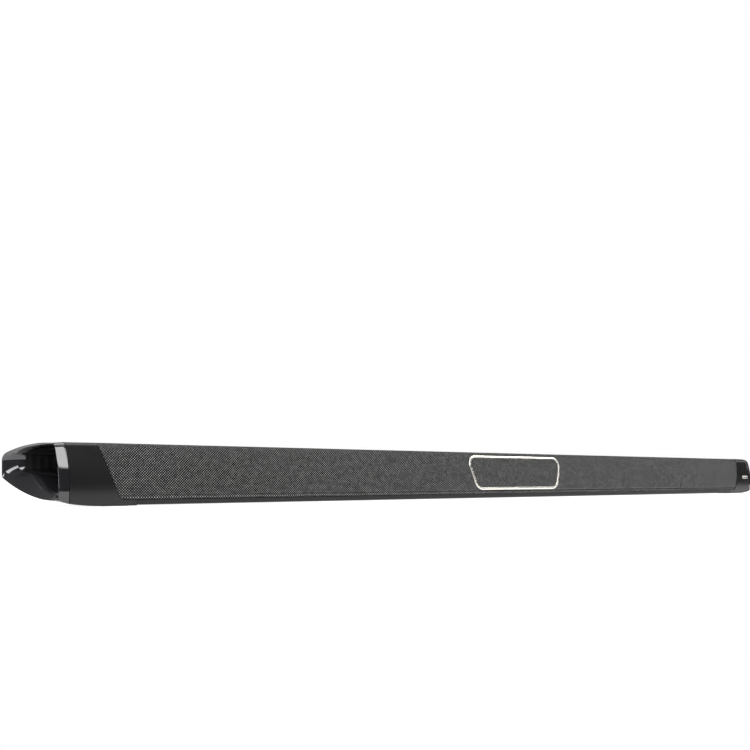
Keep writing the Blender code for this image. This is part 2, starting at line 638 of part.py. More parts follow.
def make_boards(materials):
    finish = materials["board"]
    board_with_parts("main_board", (132.0, -14.0, BOARD_TOP_Z - 1.6), (318.0, 21.8, BOARD_TOP_Z),
                     [(225.0, -3.0, 10.0, 8.0, 3.0), (190.0, -4.0, 6.0, 6.0, 2.0), (165.0, -6.0, 9.0, 4.0, 6.0),
                      (262.0, -4.0, 5.0, 5.0, 2.2), (292.0, -5.0, 11.0, 4.5, 7.0)], finish)
    board_with_parts("power_board", (-322.0, -20.0, 9.0), (-200.0, 21.0, 10.6),
                     [(-255.0, 0.0, 16.0, 13.0, 24.0), (-225.0, -9.0, 7.0, 7.0, 26.0), (-225.0, 9.0, 7.0, 7.0, 26.0),
                      (-292.0, -8.0, 10.0, 7.0, 15.0), (-210.0, 0.0, 4.0, 9.0, 8.0)], finish)
    board_with_parts("amplifier_board", (-192.0, -20.0, 9.0), (-122.0, 21.0, 10.6),
                     [(-170.0, -4.0, 6.0, 6.0, 2.2), (-144.0, -4.0, 6.0, 6.0, 2.2), (-157.0, 15.5, 26.0, 4.0, 9.0)],
                     finish)
    fins = []
    pitch = 5.4
    left = -187.0
    for index in range(11):
        x = left + pitch * index
        fins += [(x, 36.0), (x + 2.0, 36.0), (x + 2.0, 16.4), (x + pitch, 16.4)]
    comb = [(left, 13.2)] + fins[:-1] + [(left + pitch * 10 + 2.0, 13.2)]
    mesh = bmesh.new()
    prism(mesh, "Y", comb, -18.0, 10.0)
    piece("heat_sink", mesh, materials["aluminium"])

    mesh = bmesh.new()
    block(mesh, (17.5, -29.0, 12.0), (31.0, -27.4, 42.0))
    board = piece("display_board", mesh, finish)
    lamps = bmesh.new()
    for index in range(5):
        z = 15.0 + 4.6 * index
        block(lamps, (22.7, -30.2, z - 1.2), (25.8, -28.8, z + 1.2))
    block(lamps, (20.8, -31.6, 36.5), (27.7, -28.8, 41.0))
    combine(board, tool("add_lamps_and_receiver", lamps), "UNION")


# ---------------------------------------------------------------- back panel

def make_bay(name, bay, socket_holes, finish):
    """A tray set into the back wall; its floor holds the sockets."""
    middle, half_x, half_z = bay
    outline = lambda grow_x, grow_z: rounded_rectangle(half_x + grow_x, half_z + grow_z, 3.0 + grow_x / 2, 3,
                                                       (middle, BAY_Z))
    flange_y = BACK_Y - WALL - 0.3
    mesh = bmesh.new()
    stack(mesh, "Y", [(BAY_FLOOR_Y, -0.4, -0.4), (flange_y, 0.0, 0.0), (flange_y, 4.0, 2.6),
                      (flange_y - 1.4, 4.0, 2.6), (flange_y - 1.4, 1.5, 1.5), (BAY_FLOOR_Y - 1.6, 1.1, 1.1)], outline)
    tray = piece(name, mesh, finish)
    holes = bmesh.new()
    for x, z, socket_x, socket_z in socket_holes:
        block(holes, (x - socket_x - GAP, BAY_FLOOR_Y - 4, z - socket_z - GAP),
              (x + socket_x + GAP, BAY_FLOOR_Y + 3, z + socket_z + GAP))
    combine(tray, tool(f"cut_{name}_holes", holes), "DIFFERENCE")


SOCKET_LOW_Z = 24.5
# name: (X, half width, half height of the body, half width, half height of the hollow, depth, kind)
SOCKETS = {
    "video_output_socket": (142.0, 8.8, 4.2, 7.3, 2.5, 12.0, "box"),
    "video_input_socket_1": (165.0, 8.8, 4.2, 7.3, 2.5, 12.0, "box"),
    "video_input_socket_2": (188.0, 8.8, 4.2, 7.3, 2.5, 12.0, "box"),
    "video_input_socket_3": (211.0, 8.8, 4.2, 7.3, 2.5, 12.0, "box"),
    "optical_socket": (233.0, 6.6, 6.6, 5.0, 5.0, 14.0, "box"),
    "audio_jack": (251.0, 6.0, 6.0, 1.85, 1.85, 14.0, "round"),
    "network_socket": (274.0, 8.6, 8.0, 6.4, 5.6, 13.0, "box"),
    "service_port": (301.0, 8.0, 4.4, 6.4, 2.8, 13.0, "box"),
}


def make_sockets(materials):
    for name, (x, half_x, half_z, in_x, in_z, depth, kind) in SOCKETS.items():
        z = SOCKET_LOW_Z + half_z
        mesh = bmesh.new()
        block(mesh, (x - half_x, 8.0, z - half_z), (x + half_x, SOCKET_MOUTH_Y, z + half_z))
        finish = materials["plated_steel" if name.startswith(("video", "network", "service")) else "socket_plastic"]
        made = piece(name, mesh, finish)
        hollow = bmesh.new()
        if kind == "round":
            outline = racetrack(in_x, in_z, 16, (x, z))
        else:
            outline = rounded_rectangle(in_x, in_z, 0.6, 1, (x, z))
        prism(hollow, "Y", outline, SOCKET_MOUTH_Y - depth, SOCKET_MOUTH_Y + 2)
        combine(made, tool(f"cut_{name}", hollow), "DIFFERENCE")


def make_optical_shutter(finish):
    x, _, half_z, in_x, in_z, _, _ = SOCKETS["optical_socket"]
    middle = SOCKET_LOW_Z + half_z
    high = middle + in_z - 0.4
    hinge = (x, BAY_FLOOR_Y, high - 0.4)
    mesh = bmesh.new()
    block(mesh, (x - in_x + 0.4, BAY_FLOOR_Y - 0.4, middle - in_z + 0.4), (x + in_x - 0.4, BAY_FLOOR_Y + 0.4, high))
    piece("optical_shutter", mesh, finish, hinge)


def make_power_inlet(materials):
    x = POWER_BAY[0]
    mesh = bmesh.new()
    block(mesh, (x - 11.0, 6.0, BAY_Z - 7.0), (x + 11.0, SOCKET_MOUTH_Y, BAY_Z + 7.0))
    inlet = piece("power_inlet", mesh, materials["socket_plastic"])
    hollow = bmesh.new()
    prism(hollow, "Y", racetrack(8.2, 4.4, 24, (x, BAY_Z)), 12.0, SOCKET_MOUTH_Y + 2)
    combine(inlet, tool("cut_power_inlet", hollow), "DIFFERENCE")
    pins = bmesh.new()
    for shift in (-4.3, 4.3):
        prism(pins, "Y", racetrack(1.2, 1.2, 10, (x + shift, BAY_Z)), 10.0, 22.0)
    combine(inlet, tool("add_inlet_pins", pins), "UNION")


def make_hanger(side, word, finish):
    x = side * HANGER_X
    mesh = bmesh.new()
    prism(mesh, "Y", rounded_rectangle(19.0, 13.0, 3.0, 2, (x, BAY_Z)), 35.2, 36.8)
    plate = piece(f"{word}_hanger_plate", mesh, finish)
    keyhole = bmesh.new()
    wide, slim = 4.6, 2.4
    low, high = BAY_Z - 3.5, BAY_Z + 6.0
    meet = math.asin(slim / wide)
    outline = [(x + slim * math.cos(math.pi * i / 6), high + slim * math.sin(math.pi * i / 6)) for i in range(7)]
    for index in range(17):
        angle = math.pi / 2 + meet + (2 * math.pi - 2 * meet) * index / 16
        outline.append((x + wide * math.cos(angle), low + wide * math.sin(angle)))
    prism(keyhole, "Y", outline, 33.0, 39.0)
    combine(plate, tool(f"cut_{word}_keyhole", keyhole), "DIFFERENCE")


# ---------------------------------------------------------------- assembly

def build():
    for old in list(bpy.data.objects):
        bpy.data.objects.remove(old, do_unlink=True)
    materials = make_materials()
    end_tools = make_end_tools()
    make_rear_housing(materials["housing_black"], end_tools)
    make_top_cover(materials["satin_black"], end_tools)
    make_screws(materials["plated_steel"])
    for side, word in ((-1, "left"), (1, "right")):
        make_end_cap(side, word, materials["satin_black"])
        make_end_horn(side, word, materials["gloss_black"])
        make_port_tube(side, word, materials["frame_plastic"])
        make_hanger(side, word, materials["plated_steel"])
    make_feet(materials["rubber"])
    make_cloth_and_frame(materials, end_tools)
    make_center_ring(materials["bright_metal"])
    make_badge(materials["bright_metal"])
    make_baffle(materials["frame_plastic"])
    for name, x in MID_X.items():
        make_mid(name, x, materials)
    for name, x in TWEETER_X.items():
        make_tweeter(name, x, materials)
    make_buttons(materials)
    make_boards(materials)
    socket_holes = [(x, SOCKET_LOW_Z + half_z, half_x, half_z)
                    for x, half_x, half_z, _, _, _, _ in SOCKETS.values()]
    make_bay("terminal_bay", TERMINAL_BAY, socket_holes, materials["housing_black"])
    make_bay("power_bay", POWER_BAY, [(POWER_BAY[0], BAY_Z, 11.0, 7.0)], materials["housing_black"])
    make_sockets(materials)
    make_optical_shutter(materials["socket_plastic"])
    make_power_inlet(materials)


build()
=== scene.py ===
"""Finished look of the soundbar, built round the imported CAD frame.

Shapes are worked out in millimetres and become metres as each mesh is made. +X runs along the bar,
the cloth faces -Y, +Z is up.
"""
import json
import math

import bmesh
import bpy
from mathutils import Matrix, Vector


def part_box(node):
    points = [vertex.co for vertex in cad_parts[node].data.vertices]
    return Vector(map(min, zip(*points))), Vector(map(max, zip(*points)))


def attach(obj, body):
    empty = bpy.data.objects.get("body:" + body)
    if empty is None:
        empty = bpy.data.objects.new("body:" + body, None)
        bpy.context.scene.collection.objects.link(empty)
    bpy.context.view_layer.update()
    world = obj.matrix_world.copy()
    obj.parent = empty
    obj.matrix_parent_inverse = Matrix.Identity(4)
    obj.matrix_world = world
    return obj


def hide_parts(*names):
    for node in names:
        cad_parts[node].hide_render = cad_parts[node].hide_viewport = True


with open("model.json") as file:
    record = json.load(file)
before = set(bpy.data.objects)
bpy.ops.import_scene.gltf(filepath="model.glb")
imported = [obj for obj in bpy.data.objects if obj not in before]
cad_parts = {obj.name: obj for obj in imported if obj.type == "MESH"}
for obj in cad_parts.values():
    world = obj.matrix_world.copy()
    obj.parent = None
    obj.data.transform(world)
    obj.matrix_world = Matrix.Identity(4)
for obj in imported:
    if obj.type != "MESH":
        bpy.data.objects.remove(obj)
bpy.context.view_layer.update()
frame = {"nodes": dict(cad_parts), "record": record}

MM = 0.001
GAP = 0.35          # play between neighbouring pieces
WALL = 2.4          # thickness of the moulded walls
PAST = 9.0          # how far the cutters run past the casing
CUTTER_Y = 60.0     # how far out they reach
CUTTER_X = 600.0

# The casing, as in the CAD model
HALF_DEPTH = 39.5
FRONT_Y = -39.0
HEIGHT = 53.3
FLOOR_Z = 1.0
FACE_Z = 12.0       # height at which the bulging front stands out most
FACE_RADIUS = 100.0
TOP_ROUND = 6.0
BACK_ROUND = 5.0
LIP_Z = 5.3         # top of the plain edge under the cloth
COVER_FRONT_Y = -22.0
COVER_BACK_Y = 33.0
COVER_THICK = 2.2
CLOTH_INSET = 0.5
CLOTH_THICK = 0.9
CAP_FOOT_X = 455.0
CAP_LOW_X = 470.2
CAP_HIGH_X = 486.0
CAP_FLOOR_Z = 0.4
TAPER_X = 483.5     # where each end starts to taper
RIM_FRONT_X = 517.5
RIM_BACK_X = 546.28
RIM_BOW = 1.25
JOINT = 0.77        # where the cap meets the horn, from 0 at TAPER_X to 1 at the rim
SEAM = 0.005        # half the gap there, on the same scale
THROAT_CENTRE = (11.0, 33.5)
THROAT_HALF = (15.5, 11.5)
THROAT_ROUND = 8.0
THROAT_RISE = 8.0   # how much higher the low back corner lies
THROAT_X = 490.0
FUNNEL_DEPTH = 15.0
TUBE_WALL = 1.8
PORT_END_X = 446.0
BACK_Y = HALF_DEPTH
BAY_Z = 28.0
BAY_FLOOR_Y = 24.0
SOCKET_MOUTH_Y = 24.8
SOCKET_LOW_Z = 24.5
TERMINAL_BAY = (225.0, 99.0, 15.5)     # middle X, half length, half height
POWER_BAY = (-300.0, 17.0, 13.0)
INLET_HALF = (11.0, 7.0)
HANGER_X = 380.0
HANGER_HALF = (19.0, 13.0)
HANGER_WINDOW = (14.0, 10.0)
HANGER_FRONT_Y = 35.2
HANGER_BACK_Y = 36.8
SCREW_X = (-110.0, 110.0, -440.0, 440.0)
SCREW_Y = 28.5
SCREW_NODES = [f"housing_screw_{number}" for number in (1, 2, 3, 4)]
SCREW_HEAD = 3.0    # radius, as is the next
SCREW_SHANK = 1.4
FOOT_X = 471.0
FOOT_Y = 23.0
FOOT_HALF = (12.0, 9.0)
FOOT_TOP_Z = 1.55
BUTTON_X = {"power": -48.0, "source": -24.0, "wireless": 0.0, "volume_down": 24.0,
            "volume_up": 48.0}
BUTTON_Y = 10.0
BUTTON_HALF = (7.0, 4.0)
BUTTON_SKIRT = 1.2
BADGE_CENTRE = (498.0, 25.0)
# name: (X, half width and half height of the body, the same of the hollow, its depth)
SOCKETS = {
    "video_output_socket": (142.0, 8.8, 4.2, 7.3, 2.5, 12.0),
    "video_input_socket_1": (165.0, 8.8, 4.2, 7.3, 2.5, 12.0),
    "video_input_socket_2": (188.0, 8.8, 4.2, 7.3, 2.5, 12.0),
    "video_input_socket_3": (211.0, 8.8, 4.2, 7.3, 2.5, 12.0),
    "optical_socket": (233.0, 6.6, 6.6, 5.0, 5.0, 14.0),
    "audio_jack": (251.0, 6.0, 6.0, 1.85, 1.85, 14.0),
    "network_socket": (274.0, 8.6, 8.0, 6.4, 5.6, 13.0),
    "service_port": (301.0, 8.0, 4.4, 6.4, 2.8, 13.0),
}


# ---------------------------------------------------------------- camera, light and stage

def make_camera():
    data = bpy.data.cameras.new("camera")
    data.sensor_width = 36.0
    data.lens = 37.34
    data.shift_y = 0.1373
    camera = bpy.data.objects.new("camera", data)
    camera.location = (-0.6725, -0.6898, 0.0237)
    camera.rotation_euler = (math.radians(90.0), 0.0, math.radians(-35.47))
    bpy.context.scene.collection.objects.link(camera)
    bpy.context.scene.camera = camera


def area_light(name, place, aim, size, power):
    data = bpy.data.lights.new(name, "AREA")
    data.shape = "RECTANGLE"
    data.size, data.size_y = size
    data.energy = power
    light = bpy.data.objects.new(name, data)
    light.location = place
    light.rotation_euler = (Vector(aim) - Vector(place)).to_track_quat("-Z", "Y").to_euler()
    bpy.context.scene.collection.objects.link(light)


class NodeTree:
    """Shader nodes, with a short way to write arithmetic on numbers and on other nodes' outputs."""

    def __init__(self, tree):
        self.nodes, self.links = tree.nodes, tree.links

    def math(self, operation, *values):
        node = self.nodes.new("ShaderNodeMath")
        node.operation = operation
        for socket, value in zip(node.inputs, values):
            if isinstance(value, (int, float)):
                socket.default_value = value
            else:
                self.links.new(value, socket)
        return node.outputs[0]


class Sky(NodeTree):
    """The room round the bar: bright panels at given bearings on a dim background.

    A bearing of 0 degrees is -Y, in front of the cloth, and 90 is +X.
    """

    def __init__(self, world):
        world.use_nodes = True
        super().__init__(world.node_tree)
        self.nodes.clear()
        split = self.nodes.new("ShaderNodeSeparateXYZ")
        direction = self.nodes.new("ShaderNodeTexCoord").outputs["Generated"]
        self.links.new(direction, split.inputs[0])
        forward = self.math("MULTIPLY", split.outputs["Y"], -1.0)
        self.bearing = self.math("ARCTAN2", split.outputs["X"], forward)
        self.height = self.math("ARCSINE", split.outputs["Z"])
        self.total = None

    def rise(self, value, edge, soft):
        """0 below an edge in degrees and 1 above it. A negative softness swaps the two."""
        node = self.nodes.new("ShaderNodeMapRange")
        node.interpolation_type = "SMOOTHSTEP"
        node.inputs["From Min"].default_value = math.radians(edge - soft)
        node.inputs["From Max"].default_value = math.radians(edge + soft)
        self.links.new(value, node.inputs["Value"])
        return node.outputs["Result"]

    def add(self, light):
        self.total = light if self.total is None else self.math("ADD", self.total, light)

    def panel(self, bearings, heights, strength, soft=1.5):
        sides = self.math("MULTIPLY", self.rise(self.bearing, bearings[0], soft),
                          self.rise(self.bearing, bearings[1], -soft))
        ends = self.math("MULTIPLY", self.rise(self.height, heights[0], soft),
                         self.rise(self.height, heights[1], -soft))
        self.add(self.math("MULTIPLY", self.math("MULTIPLY", sides, ends), strength))

    def finish(self):
        """The camera sees plain white. The panels show only as light and reflections."""
        seen = self.nodes.new("ShaderNodeLightPath").outputs["Is Camera Ray"]
        unseen = self.math("SUBTRACT", 1.0, seen)
        lit = self.math("ADD", self.math("MULTIPLY", self.total, unseen), seen)
        background = self.nodes.new("ShaderNodeBackground")
        background.inputs["Color"].default_value = (1, 1, 1, 1)
        self.links.new(lit, background.inputs["Strength"])
        output = self.nodes.new("ShaderNodeOutputWorld")
        self.links.new(background.outputs[0], output.inputs[0])


def make_stage():
    bpy.context.scene.view_settings.view_transform = "Standard"
    world = bpy.data.worlds.new("studio")
    bpy.context.scene.world = world
    sky = Sky(world)
    sky.panel((-190, 190), (-95, 95), 0.1)              # dim room
    sky.panel((-48, 5), (22.5, 62), 7.0)                # main softbox
    sky.panel((-100, -45), (2.5, 17), 7.0, 1.0)         # low strip light on the left
    sky.panel((-170, -80), (8, 70), 0.12, 4.0)          # dim reflector on the left
    sky.panel((50, 82), (28, 60), 5.0)                  # right softbox
    sky.panel((-190, 190), (72, 100), 1.2, 6.0)         # ceiling
    sky.finish()

    mesh = bpy.data.meshes.new("floor")
    half = 40.0
    corners = [(-half, -half, 0), (half, -half, 0), (half, half, 0), (-half, half, 0)]
    mesh.from_pydata(corners, [], [(0, 1, 2, 3)])
    floor = bpy.data.objects.new("floor", mesh)
    bpy.context.scene.collection.objects.link(floor)
    pale = bpy.data.materials.new("pale_floor")
    pale.use_nodes = True
    shader = pale.node_tree.nodes["Principled BSDF"]
    shader.inputs["Base Color"].default_value = (0.5, 0.5, 0.5, 1)
    shader.inputs["Roughness"].default_value = 0.9
    shader.inputs["Emission Color"].default_value = (1, 1, 1, 1)
    shader.inputs["Emission Strength"].default_value = 0.9
    floor.data.materials.append(pale)

    area_light("top_softbox", (0.0, 0.5, 1.6), (0, 0.1, 0), (1.4, 0.8), 9)
    area_light("back_softbox", (0.2, 2.0, 0.9), (0, 0, 0), (2.4, 0.8), 10)


# ---------------------------------------------------------------- materials

class Surface(NodeTree):
    """A Principled material whose colour, roughness and bump come from nodes."""

    def __init__(self, name, metallic=0.0, specular=0.5, coat=0.0, sheen=0.0):
        self.material = bpy.data.materials.new(name)
        self.material.use_nodes = True
        super().__init__(self.material.node_tree)
        self.shader = self.nodes["Principled BSDF"]
        self.shader.inputs["Metallic"].default_value = metallic
        self.shader.inputs["Specular IOR Level"].default_value = specular
        self.shader.inputs["Coat Weight"].default_value = coat
        self.shader.inputs["Coat Roughness"].default_value = 0.03
        self.shader.inputs["Sheen Weight"].default_value = sheen
        self.place = self.nodes.new("ShaderNodeTexCoord").outputs["Object"]

    def stretched(self, source, scale):
        node = self.nodes.new("ShaderNodeMapping")
        node.inputs["Scale"].default_value = scale
        self.links.new(source, node.inputs["Vector"])
        return node.outputs["Vector"]

    def noise(self, size, detail, source=None):
        """Noise whose lumps are about size metres across."""
        node = self.nodes.new("ShaderNodeTexNoise")
        node.inputs["Scale"].default_value = 1.0 / size
        node.inputs["Detail"].default_value = detail
        node.inputs["Roughness"].default_value = 0.55
        self.links.new(self.place if source is None else source, node.inputs["Vector"])
        return node.outputs["Fac"]

    def ramp(self, source, stops):
        node = self.nodes.new("ShaderNodeValToRGB")
        elements = node.color_ramp.elements
        for index, (place, color) in enumerate(stops):
            element = elements[index] if index < 2 else elements.new(place)
            element.position = place
            element.color = (*color, 1.0)
        self.links.new(source, node.inputs["Fac"])
        return node.outputs["Color"]

    def between(self, source, low, high):
        node = self.nodes.new("ShaderNodeMapRange")
        node.inputs["To Min"].default_value = low
        node.inputs["To Max"].default_value = high
        self.links.new(source, node.inputs["Value"])
        return node.outputs["Result"]

    def color(self, value):
        self.links.new(value, self.shader.inputs["Base Color"])

    def roughness(self, value):
        self.links.new(value, self.shader.inputs["Roughness"])

    def bump(self, height, distance, strength=1.0):
        node = self.nodes.new("ShaderNodeBump")
        node.inputs["Distance"].default_value = distance
        node.inputs["Strength"].default_value = strength
        self.links.new(height, node.inputs["Height"])
        self.links.new(node.outputs["Normal"], self.shader.inputs["Normal"])


def shade(color, factor):
    return tuple(channel * factor for channel in color)


def moulded(name, color, rough, grain=0.0004, depth=0.00002, metallic=0.0, specular=0.5,
            sheen=0.0):
    """Moulded plastic, paint or metal: fine grain, faint cloudiness and uneven gloss."""
    spread = 0.1
    surface = Surface(name, metallic, specular, sheen=sheen)
    clouds = surface.noise(0.03, 4.0)
    fine = surface.noise(grain, 2.0)
    stops = [(0.3, shade(color, 1 - spread)), (0.7, shade(color, 1 + spread))]
    surface.color(surface.ramp(clouds, stops))
    smudges = surface.math("ADD", surface.math("MULTIPLY", clouds, 0.6),
                           surface.math("MULTIPLY", fine, 0.4))
    surface.roughness(surface.between(smudges, rough * 0.8, rough * 1.2))
    surface.bump(fine, depth)
    return surface.material


def make_cloth_material():
    """Plain weave of light and dark threads, from u along the bar and v over the front."""
    surface = Surface("woven_cloth", specular=0.15, sheen=0.05)
    uv = surface.nodes.new("ShaderNodeUVMap").outputs["UV"]
    split = surface.nodes.new("ShaderNodeSeparateXYZ")
    surface.links.new(uv, split.inputs[0])
    pitch = 0.0023
    turns = 2 * math.pi / pitch
    along = surface.math("SINE", surface.math("MULTIPLY", split.outputs["X"], turns))
    up = surface.math("SINE", surface.math("MULTIPLY", split.outputs["Y"], turns))
    check = surface.math("MULTIPLY", along, up)
    fibres = surface.noise(0.00025, 2.0)
    patches = surface.noise(0.004, 3.0)
    mixed = surface.math("ADD", surface.math("MULTIPLY", check, 0.5),
                         surface.math("MULTIPLY", fibres, 0.35))
    mixed = surface.math("ADD", mixed, surface.math("MULTIPLY", patches, 0.25))
    surface.color(surface.ramp(mixed, [
        (0.15, (0.001, 0.001, 0.001)), (0.80, (0.42, 0.42, 0.414)),
        (0.42, (0.003, 0.003, 0.003)), (0.58, (0.036, 0.036, 0.035))]))
    surface.roughness(surface.between(fibres, 0.75, 0.95))
    height = surface.math("ADD", surface.math("ABSOLUTE", along), surface.math("ABSOLUTE", up))
    surface.bump(surface.math("ADD", height, surface.math("MULTIPLY", fibres, 0.4)), 0.00018)
    return surface.material


def make_gloss_black():
    surface = Surface("gloss_black", specular=0.5, coat=0.75)
    haze = surface.noise(0.02, 3.0)
    surface.color(surface.ramp(haze, [(0.3, (0.006, 0.006, 0.007)), (0.7, (0.008, 0.008, 0.010))]))
    surface.roughness(surface.between(haze, 0.03, 0.07))
    surface.bump(surface.noise(0.012, 1.0), 0.00001, 0.3)
    return surface.material


def make_bright_metal():
    surface = Surface("bright_metal", metallic=1.0)
    brushed = surface.noise(0.0005, 2.0, surface.stretched(surface.place, (0.04, 1.0, 1.0)))
    surface.color(surface.ramp(brushed, [(0.3, (0.80, 0.77, 0.70)), (0.7, (0.93, 0.90, 0.83))]))
    surface.roughness(surface.between(brushed, 0.2, 0.34))
    surface.bump(brushed, 0.000008)
    return surface.material


def make_board_green():
    surface = Surface("board_green")
    traces = surface.noise(0.003, 1.0, surface.stretched(surface.place, (1.0, 0.15, 1.0)))
    surface.color(surface.ramp(traces, [(0.48, (0.012, 0.07, 0.03)), (0.52, (0.02, 0.11, 0.05))]))
    surface.roughness(surface.between(traces, 0.35, 0.5))
    surface.bump(traces, 0.00003)
    return surface.material


def make_materials():
    return {
        "cloth": make_cloth_material(),
        "satin_black": moulded("satin_black", (0.007, 0.007, 0.007), 0.22, depth=0.000008,
                               specular=0.33),
        "gloss_black": make_gloss_black(),
        "housing_black": moulded("housing_black", (0.012, 0.012, 0.012), 0.4, 0.0006, 0.00006,
                                 specular=0.25),
        "bright_metal": make_bright_metal(),
        "frame_plastic": moulded("frame_plastic", (0.004, 0.004, 0.004), 0.7, specular=0.12),
        "rubber": moulded("rubber", (0.016, 0.016, 0.016), 0.8, 0.0005, 0.00006),
        "board": make_board_green(),
        "cone_paper": moulded("cone_paper", (0.03, 0.03, 0.03), 0.75, 0.0008, 0.00008),
        "dome_silk": moulded("dome_silk", (0.02, 0.02, 0.024), 0.5, depth=0.00005, sheen=0.3),
        "basket": moulded("basket", (0.03, 0.03, 0.03), 0.4),
        "plated_steel": moulded("plated_steel", (0.24, 0.24, 0.245), 0.3, metallic=1.0),
        "aluminium": moulded("aluminium", (0.7, 0.7, 0.71), 0.36, metallic=1.0),
        "socket_plastic": moulded("socket_plastic", (0.012, 0.012, 0.012), 0.35),
        "gold": moulded("gold", (0.85, 0.62, 0.26), 0.25, metallic=1.0),
        "pale_print": moulded("pale_print", (0.55, 0.55, 0.55), 0.6),
    }


# ---------------------------------------------------------------- outlines

def lerp(a, b, t):
    return a + (b - a) * t


def rounded_path(corners, steps, closed=True):
    """Turns corners (a, b, radius) into points, with an arc at each corner that has a radius."""
    points = []
    count = len(corners)
    for index, (a, b, radius) in enumerate(corners):
        inner = closed or 0 < index < count - 1
        corner = Vector((a, b))
        if radius <= 0 or not inner:
            points.append((a, b))
            continue
        to_last = (Vector(corners[index - 1][:2]) - corner).normalized()
        to_next = (Vector(corners[(index + 1) % count][:2]) - corner).normalized()
        half = to_last.angle(to_next) / 2
        centre = corner + (to_last + to_next).normalized() * (radius / math.sin(half))
        start = corner + to_last * (radius / math.tan(half)) - centre
        end = corner + to_next * (radius / math.tan(half)) - centre
        turn = math.atan2(start.x * end.y - start.y * end.x, start.dot(end))
        for step in range(steps + 1):
            angle = turn * step / steps
            across = start.x * math.cos(angle) - start.y * math.sin(angle)
            up = start.x * math.sin(angle) + start.y * math.cos(angle)
            points.append((centre.x + across, centre.y + up))
    return points


def rounded_rectangle(half_a, half_b, radius, steps, centre):
    a, b = centre
    corners = [(a - half_a, b - half_b, radius), (a + half_a, b - half_b, radius),
               (a + half_a, b + half_b, radius), (a - half_a, b + half_b, radius)]
    return rounded_path(corners, steps)


def racetrack(half_a, half_b, count, centre):
    """Two half circles joined by straight sides, or a circle if both halves are the same."""
    points = []
    for index in range(count):
        angle = 2 * math.pi * (index + 0.5) / count
        shift = math.copysign(half_a - half_b, math.cos(angle))
        points.append((centre[0] + half_b * math.cos(angle) + shift,
                       centre[1] + half_b * math.sin(angle)))
    return points


def side_points(start, end, skip_start, skip_end, inside, power=1.0):
    """Points along a side, short of its corners. A power over 1 bows it."""
    length = math.dist(start, end)
    first = skip_start / length
    last = 1 - skip_end / length
    points = []
    for index in range(inside + 2):
        q = lerp(first, last, index / (inside + 1))
        points.append((lerp(start[0], end[0], q), lerp(start[1], end[1], q ** power)))
    return points


def bend(start, corner, end, steps):
    """Points of the curve that rounds a corner, without its two ends."""
    points = []
    for index in range(1, steps):
        t = index / steps
        weights = ((1 - t) ** 2, 2 * t * (1 - t), t ** 2)
        points.append(tuple(sum(w * p[i] for w, p in zip(weights, (start, corner, end)))
                            for i in (0, 1)))
    return points


def four_sided(corners, radii, top_power=1.0, low_power=1.0, front_bow=None):
    """Outline (Y, Z): up the front, back over the top, down the back, forward along the bottom."""
    front_low, front_high, back_high, back_low = corners
    round_fl, round_fh, round_bh, round_bl = radii
    front = side_points(front_low, front_high, round_fl, round_fh, 10)
    if front_bow:
        front = [(front_bow(z), z) for _, z in front]
    top = side_points(front_high, back_high, round_fh, round_bh, 14, top_power)
    back = side_points(back_high, back_low, round_bh, round_bl, 5)
    low = side_points(front_low, back_low, round_fl, round_bl, 14, low_power)[::-1]
    outline = front + bend(front[-1], front_high, top[0], 10)
    outline += top + bend(top[-1], back_high, back[0], 8)
    outline += back + bend(back[-1], back_low, low[0], 8)
    outline += low + bend(low[-1], front_low, front[0], 6)
    return outline


def face_y(z):
    """Y of the bulging front face at height z."""
    return FRONT_Y + (z - FACE_Z) ** 2 / (2 * FACE_RADIUS)


def surface_y(z, inset):
    """Y of the front, with its rounded top edge, at a depth of inset under the surface."""
    high = HEIGHT - inset
    start = high - TOP_ROUND
    if z <= start:
        return face_y(z) + inset
    t = 1 - math.sqrt((high - z) / TOP_ROUND)
    corner = face_y(high)
    weights = ((1 - t) ** 2, 2 * t * (1 - t), t ** 2)
    return inset + sum(w * y for w, y in zip(weights, (face_y(start), corner, corner + TOP_ROUND)))


def section(taper, inset, fillet=0.5):
    """Outline of an end. taper is 0 where the bar is straight and 1 at the rim of its mouth.

    fillet is the least radius of the low back corner.
    """
    low_front = lerp(CAP_FLOOR_Z, 4.3, taper) + inset
    low_back = lerp(CAP_FLOOR_Z, 23.8, taper) + inset
    high_front = lerp(HEIGHT, 53.0, taper) - inset
    high_back = lerp(HEIGHT, 43.5, taper) - inset
    back = HALF_DEPTH - inset
    corners = [(face_y(low_front) + inset, low_front), (face_y(high_front) + inset, high_front),
               (back, high_back), (back, low_back)]
    low_round = max(lerp(1.5, 2.5, taper) - inset, 0.5)
    back_round = max(BACK_ROUND - inset, 0.5)
    back_low_round = max(lerp(BACK_ROUND, 2.5, taper) - inset, fillet)
    radii = (low_round, TOP_ROUND, back_round, back_low_round)
    return four_sided(corners, radii, lerp(1.0, 3.2, taper), lerp(1.0, 2.4, taper),
                      lambda z: face_y(z) + inset)


def throat_outline(grow):
    middle_y, middle_z = THROAT_CENTRE
    half_y = THROAT_HALF[0] + grow
    half_z = THROAT_HALF[1] + grow
    front_y, back_y = middle_y - half_y, middle_y + half_y
    low_z, high_z = middle_z - half_z, middle_z + half_z
    corners = [(front_y, low_z), (front_y, high_z), (back_y, high_z), (back_y, low_z + THROAT_RISE)]
    back_round = 0.6 * THROAT_ROUND + grow
    return four_sided(corners, (THROAT_ROUND + grow, THROAT_ROUND + grow, back_round, back_round))


def rim_x(y):
    """How far out the rim of the mouth stands at depth y. It sweeps back."""
    back = max(y - FRONT_Y, 0.0) / (HALF_DEPTH - FRONT_Y)
    return lerp(RIM_FRONT_X, RIM_BACK_X, back ** RIM_BOW)


def end_ring(side, along, inset):
    """Ring of points round an end, along = 0 at TAPER_X and 1 at the rim."""
    return [(side * lerp(TAPER_X, rim_x(y), along), y, z) for y, z in section(along ** 2, inset)]


